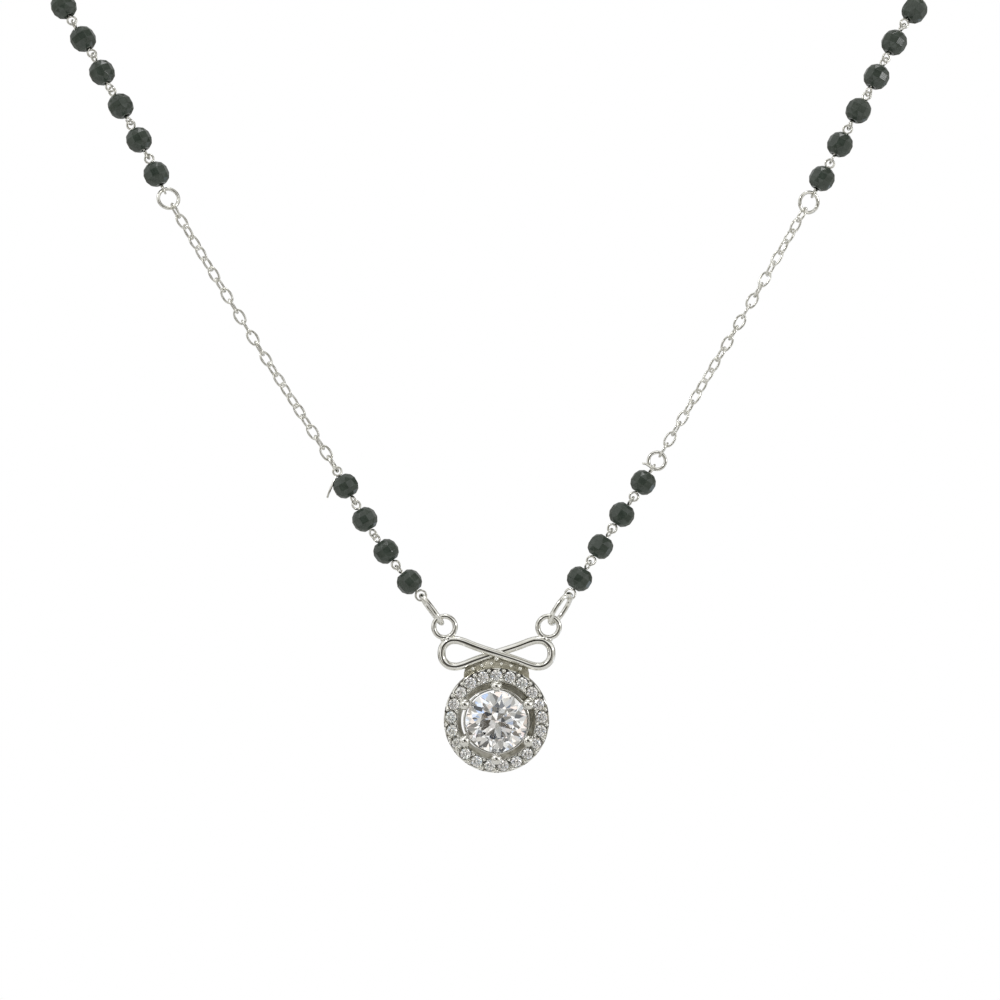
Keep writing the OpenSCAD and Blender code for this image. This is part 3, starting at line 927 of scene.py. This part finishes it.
@dataclass
class Beads:
    """Faceted black rondelles, each a piece of its own."""

    route: StrandRoute
    finishes: FinishBox
    edge_wear: float = 0.03
    crown_at: float = 0.36
    crown_width: float = 0.82
    belt_at: float = 0.15

    def rondelle(self) -> Shell:
        """A rondelle along X: triangular facets above and below the belt, and a drilled hole."""
        s = self.route.sizes
        half, belt, n = s.bead_length / 2, s.bead_d / 2, s.bead_sides
        one_end = [(half, s.bead_bore / 2, 0), (half, s.bead_end_d / 2, 0),
                   (self.crown_at * s.bead_length, self.crown_width * belt, 0.5),
                   (self.belt_at * s.bead_length, belt, 0)]
        bands = [(-x, r, offset) for x, r, offset in one_end] + one_end[::-1]
        points = np.array([
            (x, r * math.cos(a), r * math.sin(a))
            for x, r, offset in bands for a in ((i + offset) * 2 * math.pi / n for i in range(n))])
        faces: list[tuple[int, ...]] = []
        for b, (near, far) in enumerate(zip(bands, bands[1:] + bands[:1])):
            c = (b + 1) % len(bands)
            for i in range(n):
                j = (i + 1) % n
                corners = (b * n + i, b * n + j, c * n + j, c * n + i)
                if near[2] == far[2]:
                    faces.append(corners)
                elif near[2] > far[2]:
                    faces += [(corners[0], corners[2], corners[3]), (corners[0], corners[1], corners[2])]
                else:
                    faces += [(corners[0], corners[1], corners[3]), (corners[1], corners[2], corners[3])]
        return points, faces

    def worn(self, shell: Shell) -> Shell:
        """The same shell with every edge lightly worn off.

        Args:
            shell: A faceted shell.

        Returns:
            Points and faces.
        """
        points, faces = shell
        work = bmesh.new()
        corners = [work.verts.new(p) for p in points]
        for face in faces:
            work.faces.new([corners[i] for i in face])
        bmesh.ops.recalc_face_normals(work, faces=work.faces)
        bmesh.ops.bevel(work, geom=work.edges[:], offset=self.edge_wear, segments=1, affect="EDGES",
                        clamp_overlap=True)
        work.verts.index_update()
        made = (np.array([v.co for v in work.verts]), [tuple(v.index for v in f.verts) for f in work.faces])
        work.free()
        return made

    def build(self) -> None:
        """Builds every bead of this half."""
        sizes, tag = self.route.sizes, self.route.side.tag
        rng = Random(f"beads {tag}")
        shell = self.worn(self.rondelle())
        for group, first, count in (("lower", self.route.lower_bead, sizes.lower_beads),
                                    ("upper", self.route.upper_bead, sizes.upper_beads)):
            for i in range(count):
                place = self.route.place(first + i * sizes.bead_pitch, sizes.bead.reach) @ turn(
                    "X", rng.uniform(0, 360 / sizes.bead_sides))
                work = Metalwork(f"black_{group}_bead_{tag}_{i + 1}")
                work.add(shell, place)
                piece = work.build([self.finishes.black_glass], sharp_angle=4)
                hand_over(piece, f"{group}_bead_{tag}_{i + 1}", "strands", Slot.BLACK_BEAD)


@dataclass
class BeadWires:
    """Wires through the beads of one half, each bent to a plain eye at both ends."""

    route: StrandRoute
    finishes: FinishBox
    wire: float = 0.21
    tail_wire: float = 0.22
    eye_rise: float = 0.14
    eye_growth: float = 0.04
    eye_shift: float = 0.03
    eye_arc: tuple[float, float] = (138, -184)

    def half(self, outer_d: float) -> Shell:
        """Half of a bead's wire: out of the hole and once round, until its end lies beside its start.

        Args:
            outer_d: Outer width of the eye.

        Returns:
            Points and faces, along X with the eye in the XY plane.
        """
        sizes = self.route.sizes
        radius = (outer_d + self.eye_growth - self.wire) / 2
        hole = sizes.bead_length / 2
        loop = arc(radius, *self.eye_arc, 10, self.eye_rise) + (sizes.eye_x(outer_d) - self.eye_shift, 0, 0)
        stem = [(0, 0, 0), (hole / 2, 0, 0), (hole - 0.02, 0, -self.eye_rise / 4)]
        return round_ended(smooth([*stem, *loop], 5), self.wire / 2, 12)

    def tail(self) -> Shell:
        """The loose end of wire that stands off one eye of the lower group."""
        sizes = self.route.sizes
        path = np.array(TAILS[self.route.side]) - (0, sizes.front_reach, sizes.front_drop)
        return round_ended(path, self.tail_wire / 2, 8, (0, 1, 0))

    def build(self) -> None:
        """Builds the two groups of this half; a wire's two eyes lie square to each other."""
        route, s, tag = self.route, self.route.sizes, self.route.side.tag
        groups = (("lower", route.lower_bead, s.lower_beads, route.lower_turn, s.large_eye_d),
                  ("upper", route.upper_bead, s.upper_beads, route.upper_turn, s.eye_d))
        for group, first, count, turn_of, first_eye_d in groups:
            work = Metalwork(f"{group}_bead_wires_{tag}")
            for i in range(count):
                place = route.place(first + i * s.bead_pitch, s.bead.reach, turn_of(i + 1))
                work.add(self.half(s.eye_d if i else first_eye_d), place @ turn("Z", 180))
                work.add(self.half(s.eye_d), place @ turn("X", EYE_TURN))
            if group == "lower":
                work.add(self.tail())
            hand_over(work.build([self.finishes.drawn]), f"{group}_wires_{tag}", "strands", Slot.SILVER)


@dataclass
class JumpRings:
    """Oval ring, lower ring, upper ring and rear ring of one half."""

    route: StrandRoute
    finishes: FinishBox
    stoutness: float = 0.05

    def build(self) -> None:
        """Builds the four rings."""
        route, s, side = self.route, self.route.sizes, self.route.side
        lower, upper = s.lower_ring.stouter(self.stoutness), s.upper_ring.stouter(self.stoutness)
        bright, drawn = self.finishes.bright, self.finishes.drawn
        rings = [
            ("oval", OpenRing(s.oval, 62), route.oval, s.oval.reach, OVAL_TURNS[side], bright),
            ("lower", OpenRing(lower, 80), route.lower_ring, s.lower_ring.reach, LOWER_RING_TURNS[side],
             drawn),
            ("upper", OpenRing(upper, 250), route.upper_ring, s.upper_ring.reach, UPPER_RING_TURN, drawn),
            ("rear", OpenRing(upper, 100), route.rear_ring, s.upper_ring.reach, route.rear_turn, drawn)]
        for name, ring, station, reach, degrees, finish in rings:
            work = Metalwork(f"{name}_jump_ring_{side.tag}")
            work.add(ring.shell(), route.place(station, reach, degrees))
            hand_over(work.build([finish]), f"{name}_ring_{side.tag}", "strands", Slot.SILVER)


@dataclass
class BoltRing:
    """The clasp, a hollow ring with a sliding tongue, a thumb knob and an eye, and the end ring beside it."""

    sizes: Sizes
    finishes: FinishBox
    mouth: tuple[float, float] = (22, 68)
    collar_off: float = 4
    collar_half: float = 3
    tongue_wire: float = 0.62
    solder_r: float = 0.42
    solder_sunk: float = 0.1
    knob_r: float = 0.4
    knob_height: float = 0.95
    knob_squash: float = 0.6
    stem_r: float = 0.248
    stem_foot: float = 0.3
    stem_top: float = 0.75
    head_drop: float = 0.24
    end_cut_at: float = 60

    def build(self) -> None:
        """Builds both pieces."""
        s, upright = self.sizes, turn("X", 90)
        reach, tube = s.clasp.reach, s.clasp.wire / 2
        work = Metalwork("bolt_ring_clasp")
        work.add(round_ended(arc(reach, self.mouth[1], 360 + self.mouth[0], 90), tube, 24), upright)
        work.add(wire_ring(reach, self.tongue_wire, 72, 14), upright)
        for angle in (self.mouth[0] - self.collar_off, self.mouth[1] + self.collar_off):
            collar = arc(reach, angle - self.collar_half, angle + self.collar_half, 4)
            work.add(swept(collar, circle_profile(tube, 24)), upright)
        work.add(wire_ring(s.clasp_eye.reach, s.clasp_eye.wire, 56, 16), upright @ shift(-s.clasp_eye_x))
        solder_x = s.clasp_eye_x - s.clasp_eye.length / 2 + self.solder_sunk
        work.add(ball(self.solder_r, (-solder_x, 0, 0)), upright)
        stem = [(0, reach, z) for z in np.linspace(self.stem_foot, self.stem_top, 5)]
        work.add(round_ended(np.array(stem), self.stem_r, 16, (0, 1, 0)), upright)
        head = (0, reach, self.knob_height - self.head_drop)
        work.add(ball(self.knob_r, head, squash=self.knob_squash), upright)
        hand_over(work.build([self.finishes.bright]), "clasp", "strands", Slot.SILVER)

        end = Metalwork("end_jump_ring")
        end.add(OpenRing(s.end_ring, self.end_cut_at).shell(), shift(s.end_ring_x))
        hand_over(end.build([self.finishes.bright]), "end_ring", "strands", Slot.SILVER)


@dataclass
class PendantSizes:
    """Sizes of the pendant in millimetres, from the halo's middle: X right, Y up and Z to the viewer."""

    halo_d: float = 10.5
    halo_bore: float = 7.7
    halo_back_bore: float = 7.0
    halo_height: float = 1.7
    halo_count: int = 21
    halo_stone_d: float = 1.1
    halo_pitch_d: float = 9.1
    grain_d: float = 0.4
    grain_inset: float = 0.225
    grain_rise: float = 0.04
    edge: float = 0.05
    seat_depth: float = 0.5
    seat_slope: float = 0.08
    rim_from: float = 0.62
    rim_run: float = 0.2
    dimple_depth: float = 0.35
    dimple_r: float = 0.42
    dimple_slope: float = 0.14
    steps_per_stone: int = 20
    back_shift: tuple[float, float] = (-0.36, -0.3)
    back_bevel: float = 0.3
    back_trim: float = 0.3
    back_face_r: float = 3.75
    inner_wall: tuple = ((3.62, -1.1), (3.8, -0.6))
    stone_d: float = 6.13
    stone_rise: float = 0.75
    stone_turn: float = 11
    crown: float = 0.16
    pavilion: float = 0.43
    table: float = 0.56
    girdle: float = 0.02
    star: float = 0.8
    half: float = 0.3
    prong_count: int = 6
    prong_d: float = 0.6
    ball_d: float = 1.16
    base_r: float = 2.3
    base_z: float = -1.75
    base_wire: float = 0.56
    bar_start: float = 2.9
    bar_z: float = -0.95
    bar_wire: float = 0.56
    gallery_r: float = 3.2
    gallery_wire: float = 0.22
    gallery_drop: float = 0.42
    bow_width: float = 11.0
    bow_height: float = 2.66
    bow_wire: float = 0.8
    bow_rise: float = 6.6
    bow_depth: float = 1.0
    bow_weave: float = 0.2
    web_heights: tuple = (-0.38, -0.38, -0.1, 0.14, 0.38, 0.15, -0.1)
    web_grain_r: float = 0.22
    web_grain_z: float = -0.66
    loops_apart: float = 10.4
    loop_rise: float = 9.25
    lean: float = 2.3
    hook_angle: float = 34

    @property
    def ball_r(self) -> float:
        """Distance of a prong's ball from the middle."""
        return self.stone_d / 2 + 0.55

    @property
    def ball_z(self) -> float:
        """Height of a prong's ball."""
        return self.stone_rise + 0.38


# A quarter of the bow's middle line, from the crossing to the tip of a lobe: share of half the width, share
# of half the height and share of the weave.
BOW_QUARTER = [
    (0, 0, 1), (0.24, 0.32, 0.75), (0.42, 0.58, 0.4), (0.6, 0.87, 0.1), (0.74, 1, 0), (0.87, 0.91, 0),
    (0.97, 0.53, 0), (1, 0, 0)]

# A prong between the base ring and its ball: distance from the middle and height.
PRONG_KNOTS = [(2.72, -1.05), (3.2, -0.3), (3.54, 0.3)]

# The web's lower edge, ridge and upper edge at four stations, from its left end to its middle.
WEB_STATIONS = [
    [(-3.3, 4), (-3.25, 4.7), (-3.1, 5.3)], [(-2.4, 4.3), (-2.4, 5.15), (-2.4, 5.55)],
    [(-1.2, 4.55), (-1.2, 5.5), (-1.2, 6.02)], [(0, 4.7), (0, 5.75), (0, 6.5)]]
WEB_GRAINS = [(-0.5, 5.62), (0.5, 5.6), (-1.45, 5.42), (1.45, 5.4), (-2.35, 5.1), (2.35, 5.1), (0, 6.1)]

# Solder between the bow and a loop: right, up and radius.
BOW_SOLDER = [(4.8, 8.05, 0.42), (5.25, 7.95, 0.34)]


def brilliant(diameter: float, cut: PendantSizes) -> Shell:
    """Round brilliant with its girdle at zero: table, stars, kites and halves above, mains and halves below.

    Args:
        diameter: Diameter of the stone.
        cut: Shares of the cut.

    Returns:
        Points and faces.
    """
    r = diameter / 2
    crown, pavilion, girdle = cut.crown * diameter, cut.pavilion * diameter, cut.girdle * diameter
    cos = math.cos(math.pi / 8)
    star_z = girdle + crown * (r - cut.star * r * cos) / (r - cut.table * r)
    half_z = -pavilion * (1 - cut.half * cos)
    rings = [(8, cut.table * r, girdle + crown, 0), (8, cut.star * r, star_z, 0.5), (16, r, girdle, 0),
             (16, r, 0, 0), (8, cut.half * r, half_z, 0.5)]
    points = [(radius * math.cos(a), radius * math.sin(a), z) for count, radius, z, first in rings
              for a in ((i + first) * 2 * math.pi / count for i in range(count))] + [(0, 0, -pavilion)]
    faces: list[tuple[int, ...]] = [tuple(range(8))]
    for i in range(8):
        j, before = (i + 1) % 8, (i + 7) % 8
        rim = [16 + (2 * i + k) % 16 for k in range(3)]
        low = [32 + (2 * i + k) % 16 for k in range(3)]
        faces += [
            (i, 8 + i, j), (i, 8 + before, rim[0], 8 + i), (8 + i, rim[0], rim[1]), (8 + i, rim[1], rim[2]),
            (rim[0], low[0], low[1], rim[1]), (rim[1], low[1], low[2], rim[2]), (low[0], 48 + i, low[1]),
            (low[1], 48 + i, low[2]), (low[0], 48 + before, 56, 48 + i)]
    return np.array(points), faces


@dataclass
class HaloPendant:
    """The pendant: the soldered frame, the centre stone and the small stones of the halo."""

    sizes: Sizes
    finishes: FinishBox
    own: PendantSizes = field(default_factory=PendantSizes)

    @property
    def hung(self) -> Place:
        """Place of the halo's middle, hanging in the oval rings."""
        p, rise = self.own, self.sizes.loop.reach * math.cos(math.radians(self.own.hook_angle))
        return (shift(0, -self.sizes.front_reach, rise - self.sizes.front_drop) @ turn("X", 90 + p.lean)
                @ shift(0, -(p.loop_rise + rise), p.bow_depth))

    def round_halo(self, count: int, first: float = 90) -> list[Place]:
        """Equal turns round the halo's middle."""
        return [turn("Z", first + i * 360 / count) for i in range(count)]

    def halo(self) -> tuple[Shell, list[int]]:
        """The halo ring, with a sunk seat under each small stone and drilled dimples behind.

        Returns:
            The shell, and the finish of each face.
        """
        p = self.own
        bore, outer, low = p.halo_bore / 2 + p.edge, p.halo_d / 2, -p.halo_height
        back_bore = p.halo_back_bore / 2 - p.back_trim
        face = np.linspace(bore + p.edge, outer - p.edge, 26)
        back = np.linspace(outer - p.back_bevel - 0.03, p.back_face_r, 16)
        section = [(bore, -p.edge), *((r, 0.0) for r in face), (outer, -p.edge), (outer, -0.5), (outer, -1.0),
                   (outer, p.back_bevel + low), *((r, low) for r in back), (back_bore, 0.02 + low),
                   (back_bore, -1.5), *p.inner_wall]
        steps = p.halo_count * p.steps_per_stone
        angles = (np.arange(steps) + 0.5) * 2 * math.pi / steps + math.pi / 2
        seat_gap = 2 * math.pi / p.halo_count
        off = np.abs((angles - math.pi / 2 + seat_gap / 2) % seat_gap - seat_gap / 2)
        points = np.zeros((steps, len(section), 3))
        for j, (r, z) in enumerate(section):
            seat = np.hypot(r * np.cos(off) - p.halo_pitch_d / 2, r * np.sin(off))
            height = np.full(steps, z)
            if z == 0.0:
                height -= p.seat_depth * np.clip((p.halo_stone_d / 2 + p.edge - seat) / p.seat_slope, 0, 1)
                height -= p.edge * np.clip((seat - p.rim_from) / p.rim_run, 0, 1)
            elif z == low:
                height += p.dimple_depth * np.clip((p.dimple_r - seat) / p.dimple_slope, 0, 1)
            points[:, j] = np.column_stack([r * np.cos(angles), r * np.sin(angles), height])
            if r == back_bore:
                points[:, j] += (*p.back_shift, 0)
        faces = woven(steps, len(section), True)
        # The inner wall of the bore gets the dark silver that paints its shade, with some tarnish.
        inner = {len(section) - k for k in (1, 2, 3, 4)}
        finish = [RECESS_SHADE_AND_TARNISH if k % len(section) in inner else POLISHED for k in range(len(faces))]
        return (points.reshape(-1, 3), faces), finish

    def basket(self, work: Metalwork) -> None:
        """Adds the centre stone's basket: base ring, gallery ring, prongs with balls and bars to the halo."""
        p, hung = self.own, self.hung
        work.add(wire_ring(p.base_r, p.base_wire, 96, 16), hung @ shift(0, 0, p.base_z))
        gallery = hung @ shift(0, 0, p.stone_rise - p.gallery_drop)
        work.add(wire_ring(p.gallery_r, p.gallery_wire, 96, 16), gallery)
        knots = [(p.base_r, p.base_z), *PRONG_KNOTS, (p.ball_r, p.stone_rise), (p.ball_r, p.ball_z)]
        prong = np.array([(r, 0, z) for r, z in knots])
        bar = np.array([(r, 0, p.bar_z) for r in np.linspace(p.bar_start, p.halo_pitch_d / 2, 4)])
        for place in self.round_halo(p.prong_count):
            work.add(round_ended(prong, p.prong_d / 2, 14, (0, 1, 0)), hung @ place)
            work.add(ball(p.ball_d / 2, (p.ball_r, 0, p.ball_z), 24, 0.94), hung @ place)
            # The bars under the stone get the dark silver that paints their shade, with some tarnish.
            work.add(swept(bar, circle_profile(p.bar_wire / 2, 14)), hung @ place, RECESS_SHADE_AND_TARNISH)

    def grains(self, work: Metalwork) -> None:
        """Adds the raised grains that hold the small stones, and a few on the web under the bow."""
        p = self.own
        rng = Random("grains")
        for radius in (p.halo_bore / 2 + p.grain_inset, p.halo_d / 2 - p.grain_inset):
            for place in self.round_halo(p.halo_count, 90 + 180 / p.halo_count):
                middle = (radius + rng.uniform(-0.02, 0.02), rng.uniform(-0.03, 0.03), p.grain_rise)
                work.add(ball(p.grain_d / 2 * rng.uniform(0.9, 1.05), middle, 14), self.hung @ place)
        for x, y in WEB_GRAINS:
            work.add(ball(p.web_grain_r * rng.uniform(0.9, 1.1), (x, y, p.web_grain_z), 16), self.hung)

    def bow_path(self) -> np.ndarray:
        """Middle line of the bow: up round the right lobe, back through the crossing and round the left."""
        p = self.own
        out = np.array(BOW_QUARTER) * (p.bow_width / 2, p.bow_height / 2, p.bow_weave)
        back = out[-2::-1]
        quarters = [out * (1, 1, -1), back * (1, -1, 1), out[1:] * (-1, 1, 1), back[:-1] * (-1, -1, -1)]
        return smooth(np.vstack(quarters), 8, closed=True)

    def web(self) -> Shell:
        """The web under the bow, with a ridge along its face and rounded shoulders."""
        stations = WEB_STATIONS + [[(-x, y) for x, y in row] for row in WEB_STATIONS[-2::-1]]
        rings = []
        for low, ridge, high in np.array(stations, float):
            outline = (low, high, high, (ridge + high) / 2, ridge, (low + ridge) / 2, low)
            rings += [(*corner, z) for corner, z in zip(outline, self.own.web_heights)]
        sides = len(self.own.web_heights)
        ends = [tuple(range(sides))[::-1], tuple(range(len(rings) - sides, len(rings)))]
        return np.array(rings), woven(len(stations), sides, False) + ends

    def bow(self, work: Metalwork) -> None:
        """Adds the bow, the web that solders it to the halo, the two loops and their solder."""
        p, loop = self.own, self.sizes.loop
        level = self.hung @ shift(0, 0, -p.bow_depth)
        wire = swept(self.bow_path(), circle_profile(p.bow_wire / 2, 24), closed=True)
        work.add(wire, level @ shift(0, p.bow_rise))
        # The web under the bow gets the dark silver that paints its shade, with some tarnish.
        work.add(self.web(), level, RECESS_SHADE_AND_TARNISH)
        for end in (-1, 1):
            place = level @ shift(end * p.loops_apart / 2, p.loop_rise)
            work.add(wire_ring(loop.reach, loop.wire, 64, 18), place)
            for x, y, radius in BOW_SOLDER:
                work.add(ball(radius, (end * x, y, 0), 18, 0.85), level)

    def build(self) -> None:
        """Builds the three pieces of the pendant."""
        p, finishes = self.own, self.finishes
        work = Metalwork("pendant_setting")
        shell, finish = self.halo()
        work.add(shell, self.hung, finish)
        self.basket(work)
        self.grains(work)
        self.bow(work)
        setting = work.build([finishes.bright, finishes.cast], 40)
        hand_over(setting, "pendant_frame", "pendant", Slot.SILVER)

        centre = Metalwork("brilliant_centre")
        centre.add(brilliant(p.stone_d, p), self.hung @ shift(0, 0, p.stone_rise) @ turn("Z", p.stone_turn))
        hand_over(centre.build([finishes.stone], 1), "centre_stone", "pendant", Slot.CLEAR_STONE)

        rng = Random("halo stones")
        small = Metalwork("halo_brilliants")
        for place in self.round_halo(p.halo_count):
            seat = place @ shift(p.halo_pitch_d / 2) @ turn("Z", rng.uniform(0, 45))
            tilt = turn("X", rng.uniform(-4, 4)) @ turn("Y", rng.uniform(-4, 4))
            small.add(brilliant(p.halo_stone_d, p), self.hung @ seat @ tilt)
        hand_over(small.build([finishes.small_stone], 1), "halo_stones", "pendant", Slot.CLEAR_STONE)


@dataclass
class Studio:
    """Camera, pale floor and soft light."""

    distance: float = 170
    middle_x: float = 0.35
    middle_z: float = -94.3
    front_y: float = -99
    sensor: float = 36
    floor_z: float = -220
    floor_y: float = -60
    floor_r: float = 200
    floor_height: float = 4
    lamps: tuple = (
        ("key", (-420, -520, 340), 120, 0.35, (1, 1, 1)), ("fill", (480, -420, -60), 90, 0.2, (1, 1, 1)),
        ("top", (60, -160, 620), 200, 0.4, (1, 1, 1)), ("rim", (300, 140, -330), 260, 0.14, (0.72, 0.83, 1)))
    folds: float = 2.1
    tent: tuple = (
        (0.35, (0.10, 0.09, 0.075)), (0.42, (0.36, 0.345, 0.31)), (0.48, (0.66, 0.65, 0.61)),
        (0.55, (1.0, 1.0, 0.985)))
    sparks: float = 4.5
    fire: tuple = (
        (0.32, (0.50, 0.66, 1.0)), (0.41, (0.96, 0.98, 1.0)), (0.57, (1, 1, 1)), (0.68, (1.0, 0.87, 0.79)),
        (0.78, (0.97, 0.84, 0.90)))
    to_camera: tuple[float, float, float] = (0.06, -0.99, 0.10)
    lift_inside: float = 0.6
    glow_inside: float = 0.35

    def camera(self) -> None:
        """Level camera in front; the picture is 100 mm wide at the plane of the pendant."""
        data = bpy.data.cameras.new("camera")
        data.sensor_width = self.sensor
        data.lens = data.sensor_width * self.distance / (PHOTO_PIXELS / PIXELS_PER_MM)
        data.clip_start, data.clip_end = 0.01, 10
        camera = bpy.data.objects.new("camera", data)
        camera.location = (self.middle_x * MM, (self.front_y - self.distance) * MM, self.middle_z * MM)
        camera.rotation_euler = (math.pi / 2, 0, 0)
        bpy.context.scene.collection.objects.link(camera)
        bpy.context.scene.camera = camera

    def floor(self) -> None:
        """Pale floor under the hanging necklace."""
        material, sheet, shader = new_material("pale_floor")
        place = sheet.node("ShaderNodeTexCoord").outputs["Object"]
        clouds = sheet.noise(place, 20.0, 3.0)
        colour = sheet.ramp(clouds, [(0.3, (0.86, 0.86, 0.855)), (0.7, (0.90, 0.90, 0.895))])
        material.node_tree.links.new(colour, shader.inputs["Base Color"])
        shader.inputs["Roughness"].default_value = 0.7
        work = Metalwork("floor")
        edge = circle_profile(self.floor_r, 96)
        work.add(plate(edge, self.floor_z - self.floor_height, self.floor_z), shift(0, self.floor_y, 0))
        work.build([material])

    def surround(self) -> None:
        """White tent with grey folds, dimmer behind and dark round the camera; cut stones see fire in it."""
        world = bpy.data.worlds.new("studio")
        world.use_nodes = True
        bpy.context.scene.world = world
        sheet = NodeSheet(world.node_tree)
        world.node_tree.nodes.clear()
        direction = sheet.node("ShaderNodeTexCoord").outputs["Generated"]
        tent = sheet.ramp(sheet.noise(direction, self.folds, 1.5), self.tent)
        depth = sheet.node("ShaderNodeSeparateXYZ", {0: direction}).outputs[1]
        behind = sheet.fade(depth, (0.1, 0.6), (1.0, 0.62))
        nearness = sheet.node("ShaderNodeVectorMath", {0: direction, 1: self.to_camera},
                              operation="DOT_PRODUCT").outputs["Value"]
        hole = sheet.fade(nearness, (0.90, 0.975), (1.0, 0.07))
        path = sheet.node("ShaderNodeLightPath").outputs
        through = path["Is Transmission Ray"]
        lifted = sheet.math("MAXIMUM", hole, sheet.math("MULTIPLY", through, self.lift_inside))
        glow = sheet.math("MULTIPLY_ADD", through, self.glow_inside, 1)
        shade = sheet.math("MULTIPLY", behind, sheet.math("MULTIPLY", lifted, glow))
        fire = sheet.ramp(sheet.noise(direction, self.sparks, 0.0), self.fire)
        tint = sheet.node("ShaderNodeMix", {0: through, 6: (1, 1, 1, 1), 7: fire},
                          data_type="RGBA").outputs[2]
        shaded = sheet.node("ShaderNodeVectorMath", {0: tent, 1: shade}, operation="MULTIPLY").outputs[0]
        mixed = sheet.node("ShaderNodeVectorMath", {0: shaded, 1: tint}, operation="MULTIPLY").outputs[0]
        around = sheet.node("ShaderNodeBackground", {"Color": mixed, "Strength": 1.0}).outputs[0]
        seen = sheet.node("ShaderNodeBackground", {"Color": (1, 1, 1, 1), "Strength": 1.0}).outputs[0]
        final = sheet.node("ShaderNodeMixShader", {0: path["Is Camera Ray"], 1: around, 2: seen}).outputs[0]
        sheet.node("ShaderNodeOutputWorld", {"Surface": final})

    def light(self) -> None:
        """Three small soft lamps in front and above, and a cool one behind and below."""
        scene = bpy.context.scene
        target = Vector((0, self.front_y * MM, self.middle_z * MM))
        for name, place, size, power, colour in self.lamps:
            data = bpy.data.lights.new(name, "AREA")
            data.shape, data.size, data.energy, data.color = "DISK", size * MM, power, colour
            lamp = bpy.data.objects.new(name, data)
            lamp.location = [c * MM for c in place]
            lamp.rotation_euler = (target - lamp.location).to_track_quat("-Z", "Y").to_euler()
            lamp.visible_camera = False
            scene.collection.objects.link(lamp)
        scene.view_settings.view_transform = "Standard"
        scene.view_settings.look = "None"

    def build(self) -> None:
        """Sets up the studio."""
        self.camera()
        self.floor()
        self.surround()
        self.light()
        LOG.info("studio ready")


def main() -> None:
    """Builds the necklace piece by piece and reports each one."""
    logging.basicConfig(level=logging.INFO, format="%(name)s: %(message)s")
    sizes, finishes = Sizes(), FinishBox()
    Studio().build()
    for side in Side:
        route = StrandRoute(side, sizes)
        LOG.info("%s half: %.1f mm", side.tag, route.distances[-1])
        JumpRings(route, finishes).build()
        Beads(route, finishes).build()
        BeadWires(route, finishes).build()
        CableChain(route, finishes).front()
        CableChain(route, finishes).rear()
    BoltRing(sizes, finishes).build()
    HaloPendant(sizes, finishes).build()


if __name__ == "__main__":
    main()
